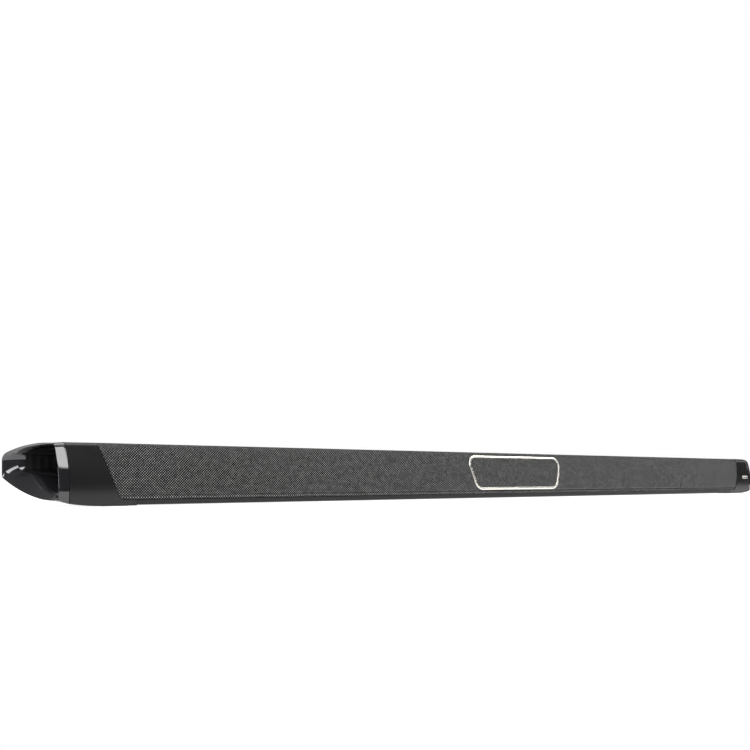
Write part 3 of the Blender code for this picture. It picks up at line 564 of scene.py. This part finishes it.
def funnel_ring(side, v, grow=0.0, back=0.0):
    """Ring of the horn's inner surface, from the mouth (v = 0) to the throat (v = 1)."""
    share = math.sin(v * math.pi / 2) ** 0.8
    mouth = section(1.0, 1.6, 3.0)
    ring = []
    for (my, mz), (ty, tz) in zip(mouth, throat_outline(grow)):
        distance = rim_x(my) - 0.6 - FUNNEL_DEPTH * v - back
        ring.append((side * distance, lerp(my, ty, share), lerp(mz, tz, share)))
    return ring


# ---------------------------------------------------------------- solids

def point_on(axis, along, a, b):
    return {"X": (along, a, b), "Y": (a, along, b), "Z": (a, b, along)}[axis]


def rings_solid(mesh, rings, closed=False):
    """Skins a row of rings, with a face on each end or, if closed, the last joined to the first."""
    verts = [[mesh.verts.new(Vector(point) * MM) for point in ring] for ring in rings]
    pairs = list(zip(verts, verts[1:]))
    if closed:
        pairs.append((verts[-1], verts[0]))
    else:
        mesh.faces.new(verts[0])
        mesh.faces.new(verts[-1])
    for ring, following in pairs:
        for index in range(len(ring)):
            last = index - 1
            mesh.faces.new((ring[last], ring[index], following[index], following[last]))


def prism(mesh, axis, outline, low, high):
    rings = [[point_on(axis, along, a, b) for a, b in outline] for along in (low, high)]
    rings_solid(mesh, rings)


def block(mesh, low, high):
    (x0, y0, z0), (x1, y1, z1) = low, high
    prism(mesh, "Z", [(x0, y0), (x1, y0), (x1, y1), (x0, y1)], z0, z1)


def stack(mesh, axis, steps, outline):
    """Skins outline(half_a, half_b) at each step (place on the axis, half_a, half_b)."""
    rings_solid(mesh, [[point_on(axis, along, a, b) for a, b in outline(half_a, half_b)]
                       for along, half_a, half_b in steps])


def disks(mesh, axis, centre, count, steps):
    """Skins round rings at each step (place on the axis, radius)."""
    rings = [[point_on(axis, along, a, b) for a, b in racetrack(radius, radius, count, centre)]
             for along, radius in steps]
    rings_solid(mesh, rings)


def place(name, mesh, angle=35.0):
    bmesh.ops.recalc_face_normals(mesh, faces=mesh.faces)
    data = bpy.data.meshes.new(name)
    mesh.to_mesh(data)
    mesh.free()
    data.shade_smooth()
    data.set_sharp_from_angle(angle=math.radians(angle))
    made = bpy.data.objects.new(name, data)
    bpy.context.scene.collection.objects.link(made)
    return made


def cutter(mesh):
    made = place("cutter", mesh)
    made.hide_render = True
    return made


def cut(target, mesh):
    modifier = target.modifiers.new("cut", "BOOLEAN")
    modifier.operation = "DIFFERENCE"
    modifier.solver = "EXACT"
    modifier.object = cutter(mesh)


def soften(target, width):
    modifier = target.modifiers.new("edges", "BEVEL")
    modifier.width = width * MM
    modifier.segments = 2
    modifier.limit_method = "ANGLE"
    modifier.angle_limit = math.radians(40.0)
    modifier.use_clamp_overlap = True


def settle(target):
    """Applies the modifiers, removes the cutters they used and shades the result."""
    cutters = [m.object for m in target.modifiers if m.type == "BOOLEAN"]
    graph = bpy.context.evaluated_depsgraph_get()
    data = bpy.data.meshes.new_from_object(target.evaluated_get(graph))
    target.modifiers.clear()
    target.data = data
    data.shade_smooth()
    data.set_sharp_from_angle(angle=math.radians(35.0))
    weighted = target.modifiers.new("shading", "WEIGHTED_NORMAL")
    weighted.keep_sharp = True
    for used in cutters:
        bpy.data.objects.remove(used)


def dress(piece, material, body, node):
    """Gives a finished piece its material and its body, and hides the CAD node it stands for."""
    piece.data.materials.clear()
    piece.data.materials.append(MATERIALS[material])
    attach(piece, body)
    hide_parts(node)


def add_detail(name, mesh, material, body="root"):
    """A small piece that stands for no CAD node, in a material of its own."""
    made = place(name, mesh)
    made.data.materials.append(MATERIALS[material])
    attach(made, body)


# ---------------------------------------------------------------- casing

def end_line(side, shift):
    """Line (X, Z) on which an end cap meets the cloth and the housing."""
    corners = [(CAP_FOOT_X - shift, -PAST, 0), (CAP_FOOT_X - shift, LIP_Z + shift, 0),
               (CAP_LOW_X - 1.0 - shift, LIP_Z + shift, 7.0), (CAP_HIGH_X - shift, HEIGHT, 0),
               (CAP_HIGH_X + 3.0 - shift, HEIGHT + PAST, 0)]
    return [(side * x, z) for x, z in rounded_path(corners, 8, closed=False)]


def cut_ends(target):
    for side in (-1, 1):
        outline = end_line(side, GAP)
        outline += [(side * CUTTER_X, HEIGHT + PAST), (side * CUTTER_X, -PAST)]
        mesh = bmesh.new()
        prism(mesh, "Y", outline, -CUTTER_Y, CUTTER_Y)
        cut(target, mesh)


def make_end_cap(side, word):
    rings = []
    straight = range(int(CAP_FOOT_X), int(TAPER_X) - 1, 3)
    for inset, order in ((0.0, 1), (WALL, -1)):
        shell = [[(side * x, y, z) for y, z in section(0.0, inset)] for x in straight]
        shell += [end_ring(side, (JOINT - SEAM) * step / 10, inset) for step in range(11)]
        rings += shell[::order]
    mesh = bmesh.new()
    rings_solid(mesh, rings, closed=True)
    cap = place(f"{word}_cap_shell", mesh)
    slant = bmesh.new()
    outline = end_line(side, 0.0)[1:]
    outline[0] = (side * (CAP_FOOT_X - PAST), LIP_Z)
    outline.append((side * (CAP_FOOT_X - PAST), HEIGHT + PAST))
    prism(slant, "Y", outline, -CUTTER_Y, CUTTER_Y)
    cut(cap, slant)
    pockets = bmesh.new()
    for middle_y in (-FOOT_Y, FOOT_Y):
        outline = rounded_rectangle(FOOT_HALF[0] + GAP, FOOT_HALF[1] + GAP, 3.0, 4,
                                    (side * FOOT_X, middle_y))
        prism(pockets, "Z", outline, -3.0, FOOT_TOP_Z + GAP)
    cut(cap, pockets)
    soften(cap, 0.35)
    settle(cap)
    dress(cap, "satin_black", "root", f"{word}_end_cap")


def make_end_horn(side, word):
    start = JOINT + SEAM
    # (place along the end, inset at the front, inset at the back)
    rim = ((start, 0.2, 0.2), (start + 0.007, 0.03, 0.0), (0.80, 0.09, 0.0), (0.82, 0.16, 0.0),
           (0.85, 0.28, 0.0), (0.88, 0.42, 0.0), (0.91, 0.57, 0.0), (0.94, 0.74, 0.0),
           (0.965, 0.91, 0.0), (0.983, 1.04, 0.06), (0.994, 1.15, 0.2), (1.0, 1.3, 0.5),
           (1.0, 1.45, 0.9), (0.996, 1.55, 1.3))
    front_starts_y, blend = -12.0, 20.0      # the front's insets grow over this range of Y
    rings = []
    for along, front, back in rim:
        shallow, deep = end_ring(side, along, back), end_ring(side, along, front)
        ring = []
        for near, far in zip(shallow, deep):
            share = min(max((front_starts_y - near[1]) / blend, 0.0), 1.0)
            ring.append(tuple(lerp(a, b, share) for a, b in zip(near, far)))
        rings.append(ring)
    rings += [funnel_ring(side, step / 20) for step in range(1, 21)]
    deep = rings[-1]
    for share in (0.35, 0.7, 1.0):
        rings.append([(side * lerp(abs(x), THROAT_X, share), y, z) for x, y, z in deep])
    rings.append([(side * THROAT_X, y, z) for y, z in throat_outline(TUBE_WALL)])
    rings += [funnel_ring(side, v, TUBE_WALL, 2.0) for v in (1.0, 0.6, 0.3)]
    # The sleeve that slides into the end cap
    sleeve_end, sleeve_inside, sleeve_outside = 0.70, WALL + 1.8, WALL + 0.4
    rings += [end_ring(side, 0.9, sleeve_inside), end_ring(side, sleeve_end, sleeve_inside)]
    rings += [end_ring(side, sleeve_end, sleeve_outside), end_ring(side, start, sleeve_outside)]
    mesh = bmesh.new()
    rings_solid(mesh, rings, closed=True)
    horn = place(f"{word}_horn_shell", mesh, 40.0)
    dress(horn, "gloss_black", "root", f"{word}_end_horn")


def make_cloth():
    """The cloth as one thin sheet, with u along the bar and v measured over the front."""
    path = []
    steps = 24
    for depth in (CLOTH_INSET, CLOTH_INSET + CLOTH_THICK):
        low, start = LIP_Z + GAP, HEIGHT - depth - TOP_ROUND
        heights = [lerp(low, start, step / steps) for step in range(steps + 1)]
        heights += [HEIGHT - depth - TOP_ROUND * (1 - step / 10) ** 2 for step in range(1, 11)]
        layer = [(surface_y(z, depth), z) for z in heights]
        layer.append((COVER_FRONT_Y - GAP, HEIGHT - depth))
        path += layer if depth == CLOTH_INSET else layer[::-1]
    mesh = bmesh.new()
    prism(mesh, "X", path, -CAP_HIGH_X, CAP_HIGH_X)
    cloth = place("front_cloth", mesh)
    cut_ends(cloth)
    settle(cloth)
    weave = cloth.data.uv_layers.new(name="weave")
    outer = path[:len(path) // 2]
    lengths = [0.0]
    for last, point in zip(outer, outer[1:]):
        lengths.append(lengths[-1] + math.dist(last, point))
    for loop in cloth.data.loops:
        x, y, z = cloth.data.vertices[loop.vertex_index].co / MM
        nearest = min(range(len(outer)), key=lambda i: math.dist(outer[i], (y, z)))
        weave.data[loop.index].uv = (x * MM, lengths[nearest] * MM)
    dress(cloth, "cloth", "root", "grille_cloth")


def make_ring():
    """Thin metal frame on the cloth: a trapezoid with rounded corners."""
    high_half, low_half = 79.0, 67.0
    low_z, high_z = 10.2, 49.4
    high_corner, low_corner = 10.5, 13.0
    width = 2.9
    flank = math.atan((high_half - low_half) / (high_z - low_z))
    rings = []
    # (distance in from the outer edge, depth under the surface of the front)
    layers = [(0.0, 0.15), (0.0, -0.15), (0.12, -0.38), (0.4, -0.5), (width - 0.4, -0.5),
              (width - 0.12, -0.38), (width, -0.15), (width, 0.15)]
    for band, inset in layers:
        shift = band * (1 / math.cos(flank) + math.tan(flank))
        shift_low = band * (1 / math.cos(flank) - math.tan(flank))
        low = (low_half - shift_low, low_z + band)
        high = (high_half - shift, high_z - band)
        low_round, high_round = low_corner - band, high_corner - band
        flanks = [(lerp(low[0], high[0], t), lerp(low[1], high[1], t))
                  for t in (0.46, 0.51, 0.56, 0.61, 0.66)]
        corners = [(-low[0], low[1], low_round), (*low, low_round)]
        corners += [(x, z, 0) for x, z in flanks]
        corners += [(*high, high_round), (-high[0], high[1], high_round)]
        corners += [(-x, z, 0) for x, z in flanks[::-1]]
        rings.append([(x, surface_y(z, inset), z) for x, z in rounded_path(corners, 16)])
    mesh = bmesh.new()
    rings_solid(mesh, rings, closed=True)
    dress(place("bright_ring", mesh, 50.0), "bright_metal", "root", "center_ring")


def make_badge():
    steps = ((-0.3, 7.5, 2.2), (-0.6, 7.5, 2.2), (-0.76, 7.4, 2.1), (-0.85, 7.1, 1.8),
             (-0.85, 6.7, 1.4), (-0.75, 6.5, 1.2))
    rings = []
    for depth, half_x, half_z in steps:
        outline = racetrack(half_x, half_z, 48, BADGE_CENTRE)
        rings.append([(x, surface_y(z, depth), z) for x, z in outline])
    mesh = bmesh.new()
    rings_solid(mesh, rings)
    dress(place("plain_badge", mesh, 50.0), "bright_metal", "root", "right_badge")


def make_throat_liner(side, word):
    """Dark ribbed sleeve inside the horn's throat."""
    mouth = [abs(x) - 0.5 for x, _, _ in funnel_ring(side, 1.0)]
    # (share of the way from the mouth to the back of the throat, growth of the outline)
    steps = [(1.0, -0.05), (0.0, -0.05), (0.0, -0.35)]
    ribs = 6
    for index in range(ribs):
        for step, grow in ((0.1, -0.4), (0.45, -0.4), (0.6, -0.8), (0.85, -0.8)):
            steps.append(((index + step) / ribs, grow))
    rings = []
    for share, grow in steps:
        rings.append([(side * lerp(start, THROAT_X, share), y, z)
                      for start, (y, z) in zip(mouth, throat_outline(grow))])
    mesh = bmesh.new()
    rings_solid(mesh, rings, closed=True)
    add_detail(f"{word}_end_horn_liner", mesh, "frame_plastic")


def make_port_tube(side, word):
    ribs = 8
    end_x = THROAT_X - 0.4
    pitch = (end_x - PORT_END_X) / ribs
    # (X, growth of the outline): the outside, then the ribbed inside
    steps = [(end_x, TUBE_WALL), (PORT_END_X, TUBE_WALL)]
    for index in range(ribs):
        start = lerp(PORT_END_X, end_x, index / ribs)
        steps += [(start, 0.0), (start + 0.75 * pitch, 0.0), (start + 0.8 * pitch, -0.3),
                  (start + 0.95 * pitch, -0.3)]
    steps.append((end_x, 0.0))
    rings = [[(side * x, y, z) for y, z in throat_outline(grow)] for x, grow in steps]
    mesh = bmesh.new()
    rings_solid(mesh, rings, closed=True)
    dress(place(f"{word}_ribbed_tube", mesh, 25.0), "frame_plastic", "root", f"{word}_port_tube")


# ---------------------------------------------------------------- body of the bar

def make_housing():
    inner_top = HEIGHT - COVER_THICK
    outline = [(face_y(LIP_Z), LIP_Z, 0), (face_y(FLOOR_Z), FLOOR_Z, 1.5),
               (BACK_Y, FLOOR_Z, BACK_ROUND), (BACK_Y, HEIGHT, BACK_ROUND),
               (COVER_BACK_Y, HEIGHT, 0), (COVER_BACK_Y, inner_top, 0),
               (BACK_Y - WALL, inner_top, BACK_ROUND - WALL),
               (BACK_Y - WALL, FLOOR_Z + WALL, BACK_ROUND - WALL),
               (face_y(FLOOR_Z) + WALL, FLOOR_Z + WALL, 0), (face_y(LIP_Z) + WALL, LIP_Z, 0)]
    mesh = bmesh.new()
    prism(mesh, "X", rounded_path(outline, 10), -CAP_HIGH_X, CAP_HIGH_X)
    housing = place("rear_shell", mesh)
    cut_ends(housing)
    holes = bmesh.new()
    windows = (TERMINAL_BAY, POWER_BAY, (-HANGER_X, *HANGER_WINDOW), (HANGER_X, *HANGER_WINDOW))
    for middle, half_x, half_z in windows:
        outline = rounded_rectangle(half_x, half_z, 3.0, 8, (middle, BAY_Z))
        prism(holes, "Y", outline, BACK_Y - WALL - 2, BACK_Y + 2)
    head, shank = SCREW_HEAD + 0.4, SCREW_SHANK + GAP
    for x in SCREW_X:
        disks(holes, "Z", (x, SCREW_Y), 32, [
            (FLOOR_Z - 2, head), (FLOOR_Z + 1.3, head), (FLOOR_Z + 1.3, shank),
            (FLOOR_Z + WALL + 2, shank)])
    cut(housing, holes)
    soften(housing, 0.35)
    settle(housing)
    dress(housing, "housing_black", "root", "rear_housing")


def make_cover():
    mesh = bmesh.new()
    block(mesh, (-CAP_HIGH_X, COVER_FRONT_Y, HEIGHT - COVER_THICK),
          (CAP_HIGH_X, COVER_BACK_Y - GAP, HEIGHT))
    cover = place("top_panel", mesh)
    cut_ends(cover)
    holes = bmesh.new()
    half_x, half_y = BUTTON_HALF
    for x in BUTTON_X.values():
        outline = rounded_rectangle(half_x + GAP, half_y + GAP, 2.3, 8, (x, BUTTON_Y))
        prism(holes, "Z", outline, HEIGHT - COVER_THICK - 2, HEIGHT + 2)
    cut(cover, holes)
    soften(cover, 0.3)
    settle(cover)
    dress(cover, "satin_black", "root", "top_cover")


def make_screws():
    for index, x in enumerate(SCREW_X):
        mesh = bmesh.new()
        disks(mesh, "Z", (x, SCREW_Y), 32, [
            (FLOOR_Z + 0.15, 2.2), (FLOOR_Z + 0.22, 2.7), (FLOOR_Z + 0.4, SCREW_HEAD),
            (FLOOR_Z + 1.0, SCREW_HEAD), (FLOOR_Z + 1.0, SCREW_SHANK), (14.0, SCREW_SHANK),
            (15.2, 0.5)])
        screw = place(f"cross_screw_{index + 1}", mesh)
        cross = bmesh.new()
        for half_x, half_y in ((1.7, 0.3), (0.3, 1.7)):
            block(cross, (x - half_x, SCREW_Y - half_y, FLOOR_Z - 1),
                  (x + half_x, SCREW_Y + half_y, FLOOR_Z + 0.75))
        cut(screw, cross)
        screw.modifiers[-1].use_self = True
        settle(screw)
        nearest = min(SCREW_NODES, key=lambda name: abs(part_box(name)[0].x - (x - SCREW_HEAD) * MM))
        dress(screw, "plated_steel", "root", nearest)


def make_feet():
    # (Z, distance in from the outline of the foot)
    steps = [(0.0, 4.0), (0.25, 3.8), (0.25, 2.4), (0.0, 2.2), (0.0, 0.7), (0.12, 0.2), (0.4, 0.0),
             (1.4, 0.0), (FOOT_TOP_Z, 0.2)]
    half_x, half_y = FOOT_HALF
    for side, side_word in ((-1, "left"), (1, "right")):
        for y, word in ((-FOOT_Y, "front"), (FOOT_Y, "rear")):
            mesh = bmesh.new()
            stack(mesh, "Z", [(z, half_x - inset, half_y - inset) for z, inset in steps],
                  lambda a, b: rounded_rectangle(a, b, 2.7, 8, (side * FOOT_X, y)))
            pad = place(f"{side_word}_{word}_pad", mesh)
            dress(pad, "rubber", "root", f"{side_word}_{word}_foot")


# ---------------------------------------------------------------- buttons

def ribbon(mesh, points, width, low, high):
    """A flat stroke along an open line."""
    left, right = [], []
    for index, point in enumerate(points):
        last, following = points[max(index - 1, 0)], points[min(index + 1, len(points) - 1)]
        across = Vector((last[1] - following[1], following[0] - last[0])).normalized()
        across *= width / 2
        left.append((point[0] + across.x, point[1] + across.y))
        right.append((point[0] - across.x, point[1] - across.y))
    prism(mesh, "Z", left + right[::-1], low, high)


def arc(middle, radius, start, end):
    count = 17
    angles = [math.radians(lerp(start, end, step / (count - 1))) for step in range(count)]
    return [(middle[0] + radius * math.cos(a), middle[1] + radius * math.sin(a)) for a in angles]


def button_mark(word, x):
    """The open lines that make up a button's sign."""
    y = BUTTON_Y
    bar = [(x - 1.7, y), (x + 1.7, y)]
    return {
        "power": [arc((x, y - 0.2), 1.6, 125, 415), [(x, y), (x, y + 1.9)]],
        "source": [[(x + 0.2, y + 1.6), (x + 1.8, y + 1.6), (x + 1.8, y - 1.6), (x + 0.2, y - 1.6)],
                   [(x - 2.2, y), (x + 0.7, y)],
                   [(x - 0.2, y + 0.9), (x + 0.7, y), (x - 0.2, y - 0.9)]],
        "wireless": [arc((x, y - 1.4), radius, 45, 135) for radius in (1.0, 2.0, 3.0)],
        "volume_down": [bar],
        "volume_up": [bar, [(x, y - 1.7), (x, y + 1.7)]],
    }[word]


def make_button(word, x):
    # (depth under the top of the bar, distance in from the outline): the skirt, then the dished top
    steps = [(3.7, -BUTTON_SKIRT), (2.6, -BUTTON_SKIRT), (2.6, 0.0), (0.6, 0.0), (0.3, 0.12),
             (0.14, 0.4), (0.1, 0.8), (0.16, 1.5), (0.22, 2.4)]
    half_x, half_y = BUTTON_HALF
    mesh = bmesh.new()
    stack(mesh, "Z", [(HEIGHT - drop, half_x - inset, half_y - inset) for drop, inset in steps],
          lambda a, b: rounded_rectangle(a, b, min(2.0, 0.6 * b), 8, (x, BUTTON_Y)))
    dress(place(f"{word}_key", mesh), "satin_black", f"{word}_button", f"{word}_button")
    marks = bmesh.new()
    for number, line in enumerate(button_mark(word, x)):
        # Each stroke stands a little higher than the last, so that crossing tops don't coincide.
        ribbon(marks, line, 0.45, HEIGHT - 0.35, HEIGHT - 0.15 + 0.004 * number)
    add_detail(f"{word}_mark", marks, "pale_print", f"{word}_button")


# ---------------------------------------------------------------- back of the bar

def make_bay(name, bay, holes_for):
    """Tray sunk in the back wall. Each hole in its floor is (X, Z, half width, half height)."""
    middle, half_x, half_z = bay
    flange_y = BACK_Y - WALL - 0.3
    # (Y, growth of the outline along the bar and up)
    steps = [(BAY_FLOOR_Y, -0.9, -0.9), (BAY_FLOOR_Y + 0.15, -0.55, -0.55),
             (BAY_FLOOR_Y + 0.5, -0.4, -0.4), (flange_y, 0.0, 0.0), (flange_y, 4.0, 2.6),
             (flange_y - 1.4, 4.0, 2.6), (flange_y - 1.4, 1.5, 1.5), (BAY_FLOOR_Y - 1.6, 1.1, 1.1)]
    mesh = bmesh.new()
    stack(mesh, "Y", steps, lambda grow_x, grow_z: rounded_rectangle(
        half_x + grow_x, half_z + grow_z, 3.0 + grow_x / 2, 8, (middle, BAY_Z)))
    tray = place(f"{name}_tray", mesh)
    holes = bmesh.new()
    for x, z, hole_x, hole_z in holes_for:
        block(holes, (x - hole_x - GAP, BAY_FLOOR_Y - 4, z - hole_z - GAP),
              (x + hole_x + GAP, BAY_FLOOR_Y + 3, z + hole_z + GAP))
    cut(tray, holes)
    soften(tray, 0.2)
    settle(tray)
    dress(tray, "housing_black", "root", name)


def rounded_block(name, low, high, width=0.25):
    """A block with softened edges, still to be settled."""
    mesh = bmesh.new()
    block(mesh, low, high)
    made = place(name, mesh)
    soften(made, width)
    return made


def socket_outline(name):
    x, _, half_z, in_x, in_z, _ = SOCKETS[name]
    z = SOCKET_LOW_Z + half_z
    low, high = z - in_z, z + in_z
    if name.startswith("video"):
        slant = 1.8
        return rounded_path([
            (x - in_x, high, 0.5), (x + in_x, high, 0.5), (x + in_x, z - 0.7, 0.6),
            (x + in_x - slant, low, 0.6), (x - in_x + slant, low, 0.6),
            (x - in_x, z - 0.7, 0.6)], 5)
    if name == "network_socket":
        notch, step = 3.0, 1.6
        return rounded_path([
            (x - in_x, high, 0.3), (x + in_x, high, 0.3), (x + in_x, low + step, 0.3),
            (x + notch, low + step, 0), (x + notch, low, 0.3), (x - notch, low, 0.3),
            (x - notch, low + step, 0), (x - in_x, low + step, 0.3)], 4)
    if name == "audio_jack":
        return racetrack(in_x, in_z, 40, (x, z))
    return rounded_rectangle(in_x, in_z, 0.6, 5, (x, z))


def dress_video_socket(name, x, z, low_y):
    tongue = bmesh.new()
    block(tongue, (x - 6.2, low_y - 0.2, z - 0.1), (x + 6.2, SOCKET_MOUTH_Y - 2.2, z + 1.1))
    add_detail(f"{name}_tongue", tongue, "socket_plastic")
    pins = bmesh.new()
    count, row = 10, 10.0
    for index in range(count):
        at = x - row / 2 + index * row / (count - 1)
        block(pins, (at - 0.25, low_y, z - 0.2), (at + 0.25, SOCKET_MOUTH_Y - 2.6, z - 0.1))
    add_detail(f"{name}_contacts", pins, "gold")


def dress_service_port(name, x, z, low_y):
    tongue = bmesh.new()
    block(tongue, (x - 5.6, low_y - 0.2, z + 0.1), (x + 5.6, SOCKET_MOUTH_Y - 1.2, z + 1.9))
    add_detail(f"{name}_tongue", tongue, "socket_plastic")
    pins = bmesh.new()
    for shift in (-3.5, -1.2, 1.2, 3.5):
        block(pins, (x + shift - 0.6, low_y, z), (x + shift + 0.6, SOCKET_MOUTH_Y - 1.8, z + 0.1))
    add_detail(f"{name}_contacts", pins, "gold")


def dress_network_socket(name, x, z, low_y):
    in_x, in_z = SOCKETS[name][3:5]
    liner = bmesh.new()
    block(liner, (x - in_x + 0.1, low_y - 0.2, z - in_z + 1.7),
          (x + in_x - 0.1, low_y + 0.6, z + in_z - 0.1))
    add_detail(f"{name}_liner", liner, "socket_plastic")
    pins = bmesh.new()
    pitch = 1.02
    for index in range(8):
        at = x - 3.5 * pitch + index * pitch
        slope = [(low_y + 0.6, z + in_z - 0.3), (SOCKET_MOUTH_Y - 3.0, z + in_z - 0.5),
                 (low_y + 3.0, z + 1.4), (low_y + 2.6, z + 1.4)]
        prism(pins, "X", slope, at - 0.2, at + 0.2)
    add_detail(f"{name}_contacts", pins, "gold")


def dress_audio_jack(name, x, z):
    collar = bmesh.new()
    # (distance out from the mouth, radius)
    steps = ((-1.0, 3.4), (0.5, 3.4), (0.7, 3.1), (0.7, 2.2), (0.3, 1.9), (-1.0, 1.9))
    rings = [[point_on("Y", SOCKET_MOUTH_Y + out, a, b) for a, b in racetrack(r, r, 40, (x, z))]
             for out, r in steps]
    rings_solid(collar, rings, closed=True)
    add_detail(f"{name}_collar", collar, "plated_steel")


def make_socket(name):
    x, half_x, half_z, _, _, depth = SOCKETS[name]
    z = SOCKET_LOW_Z + half_z
    low_y = SOCKET_MOUTH_Y - depth
    metal = name.startswith(("video", "network", "service"))
    body = rounded_block(f"{name}_shell", (x - half_x, 8.0, z - half_z),
                         (x + half_x, SOCKET_MOUTH_Y, z + half_z))
    hollow = bmesh.new()
    prism(hollow, "Y", socket_outline(name), low_y, SOCKET_MOUTH_Y + 2)
    cut(body, hollow)
    body.modifiers.move(1, 0)
    settle(body)
    dress(body, "plated_steel" if metal else "socket_plastic", "root", name)
    if name.startswith("video"):
        dress_video_socket(name, x, z, low_y)
    elif name == "service_port":
        dress_service_port(name, x, z, low_y)
    elif name == "network_socket":
        dress_network_socket(name, x, z, low_y)
    elif name == "audio_jack":
        dress_audio_jack(name, x, z)


def make_shutter():
    x, _, half_z, in_x, in_z, _ = SOCKETS["optical_socket"]
    middle = SOCKET_LOW_Z + half_z
    half_x, half_thick = in_x - 0.4, 0.4
    high = in_z - 0.4
    body = rounded_block("spring_shutter", (x - half_x, BAY_FLOOR_Y - half_thick, middle - high),
                         (x + half_x, BAY_FLOOR_Y + half_thick, middle + high), 0.2)
    dent = bmesh.new()
    disks(dent, "Y", (x, middle), 32, [(BAY_FLOOR_Y + 0.15, 1.6), (BAY_FLOOR_Y + 2, 2.6)])
    cut(body, dent)
    settle(body)
    dress(body, "socket_plastic", "optical_shutter", "optical_shutter")


def make_inlet():
    """Figure-of-eight power inlet with its two pins."""
    x = POWER_BAY[0]
    half_x, half_z = INLET_HALF
    body = rounded_block("inlet_block", (x - half_x, 6.0, BAY_Z - half_z),
                         (x + half_x, SOCKET_MOUTH_Y, BAY_Z + half_z), 0.4)
    hollow = bmesh.new()
    steps = [(12.0, 8.2, 4.4), (SOCKET_MOUTH_Y - 0.6, 8.2, 4.4), (SOCKET_MOUTH_Y + 0.2, 8.9, 5.1)]
    stack(hollow, "Y", steps, lambda a, b: racetrack(a, b, 64, (x, BAY_Z)))
    cut(body, hollow)
    settle(body)
    dress(body, "socket_plastic", "root", "power_inlet")
    pins = bmesh.new()
    for shift in (-4.3, 4.3):
        disks(pins, "Y", (x + shift, BAY_Z), 24, [
            (10.0, 1.2), (21.3, 1.2), (21.8, 1.0), (22.0, 0.6)])
    add_detail("power_inlet_pins", pins, "plated_steel")


def keyhole_outline(x):
    wide, slim = 4.6, 2.4
    low, high = BAY_Z - 3.5, BAY_Z + 6.0
    meet = math.asin(slim / wide)
    outline = [(x + slim * math.cos(math.pi * i / 12), high + slim * math.sin(math.pi * i / 12))
               for i in range(13)]
    for index in range(41):
        angle = math.pi / 2 + meet + (2 * math.pi - 2 * meet) * index / 40
        outline.append((x + wide * math.cos(angle), low + wide * math.sin(angle)))
    return outline


def make_hanger(side, word):
    x = side * HANGER_X
    mesh = bmesh.new()
    outline = rounded_rectangle(*HANGER_HALF, 3.0, 8, (x, BAY_Z))
    prism(mesh, "Y", outline, HANGER_FRONT_Y, HANGER_BACK_Y)
    plate = place(f"{word}_keyhole_plate", mesh)
    keyhole = bmesh.new()
    prism(keyhole, "Y", keyhole_outline(x), HANGER_FRONT_Y - 2.2, HANGER_BACK_Y + 2.2)
    cut(plate, keyhole)
    soften(plate, 0.25)
    settle(plate)
    rivets = bmesh.new()
    for shift in (-10.5, 10.5):
        disks(rivets, "Y", (x + shift, BAY_Z), 24, [
            (HANGER_BACK_Y - 0.2, 1.6), (HANGER_BACK_Y + 0.1, 1.6), (HANGER_BACK_Y + 0.35, 1.3),
            (HANGER_BACK_Y + 0.5, 0.8)])
    add_detail(f"{word}_hanger_rivets", rivets, "plated_steel")
    dress(plate, "plated_steel", "root", f"{word}_hanger_plate")


MATERIALS = make_materials()
make_camera()
make_stage()
slots = {part["node"]: part["material_slot"] for part in frame["record"]["subparts"]}
for name, node in frame["nodes"].items():
    node.data.materials.clear()
    node.data.materials.append(MATERIALS[slots[name]])
for side, word in ((-1, "left"), (1, "right")):
    make_end_cap(side, word)
    make_end_horn(side, word)
    make_throat_liner(side, word)
    make_port_tube(side, word)
    make_hanger(side, word)
make_cloth()
make_ring()
make_badge()
make_housing()
make_cover()
make_screws()
make_feet()
for word, x in BUTTON_X.items():
    make_button(word, x)
socket_holes = [(x, SOCKET_LOW_Z + half_z, half_x, half_z)
                for x, half_x, half_z, _, _, _ in SOCKETS.values()]
make_bay("terminal_bay", TERMINAL_BAY, socket_holes)
make_bay("power_bay", POWER_BAY, [(POWER_BAY[0], BAY_Z, *INLET_HALF)])
for name in SOCKETS:
    make_socket(name)
make_shutter()
make_inlet()
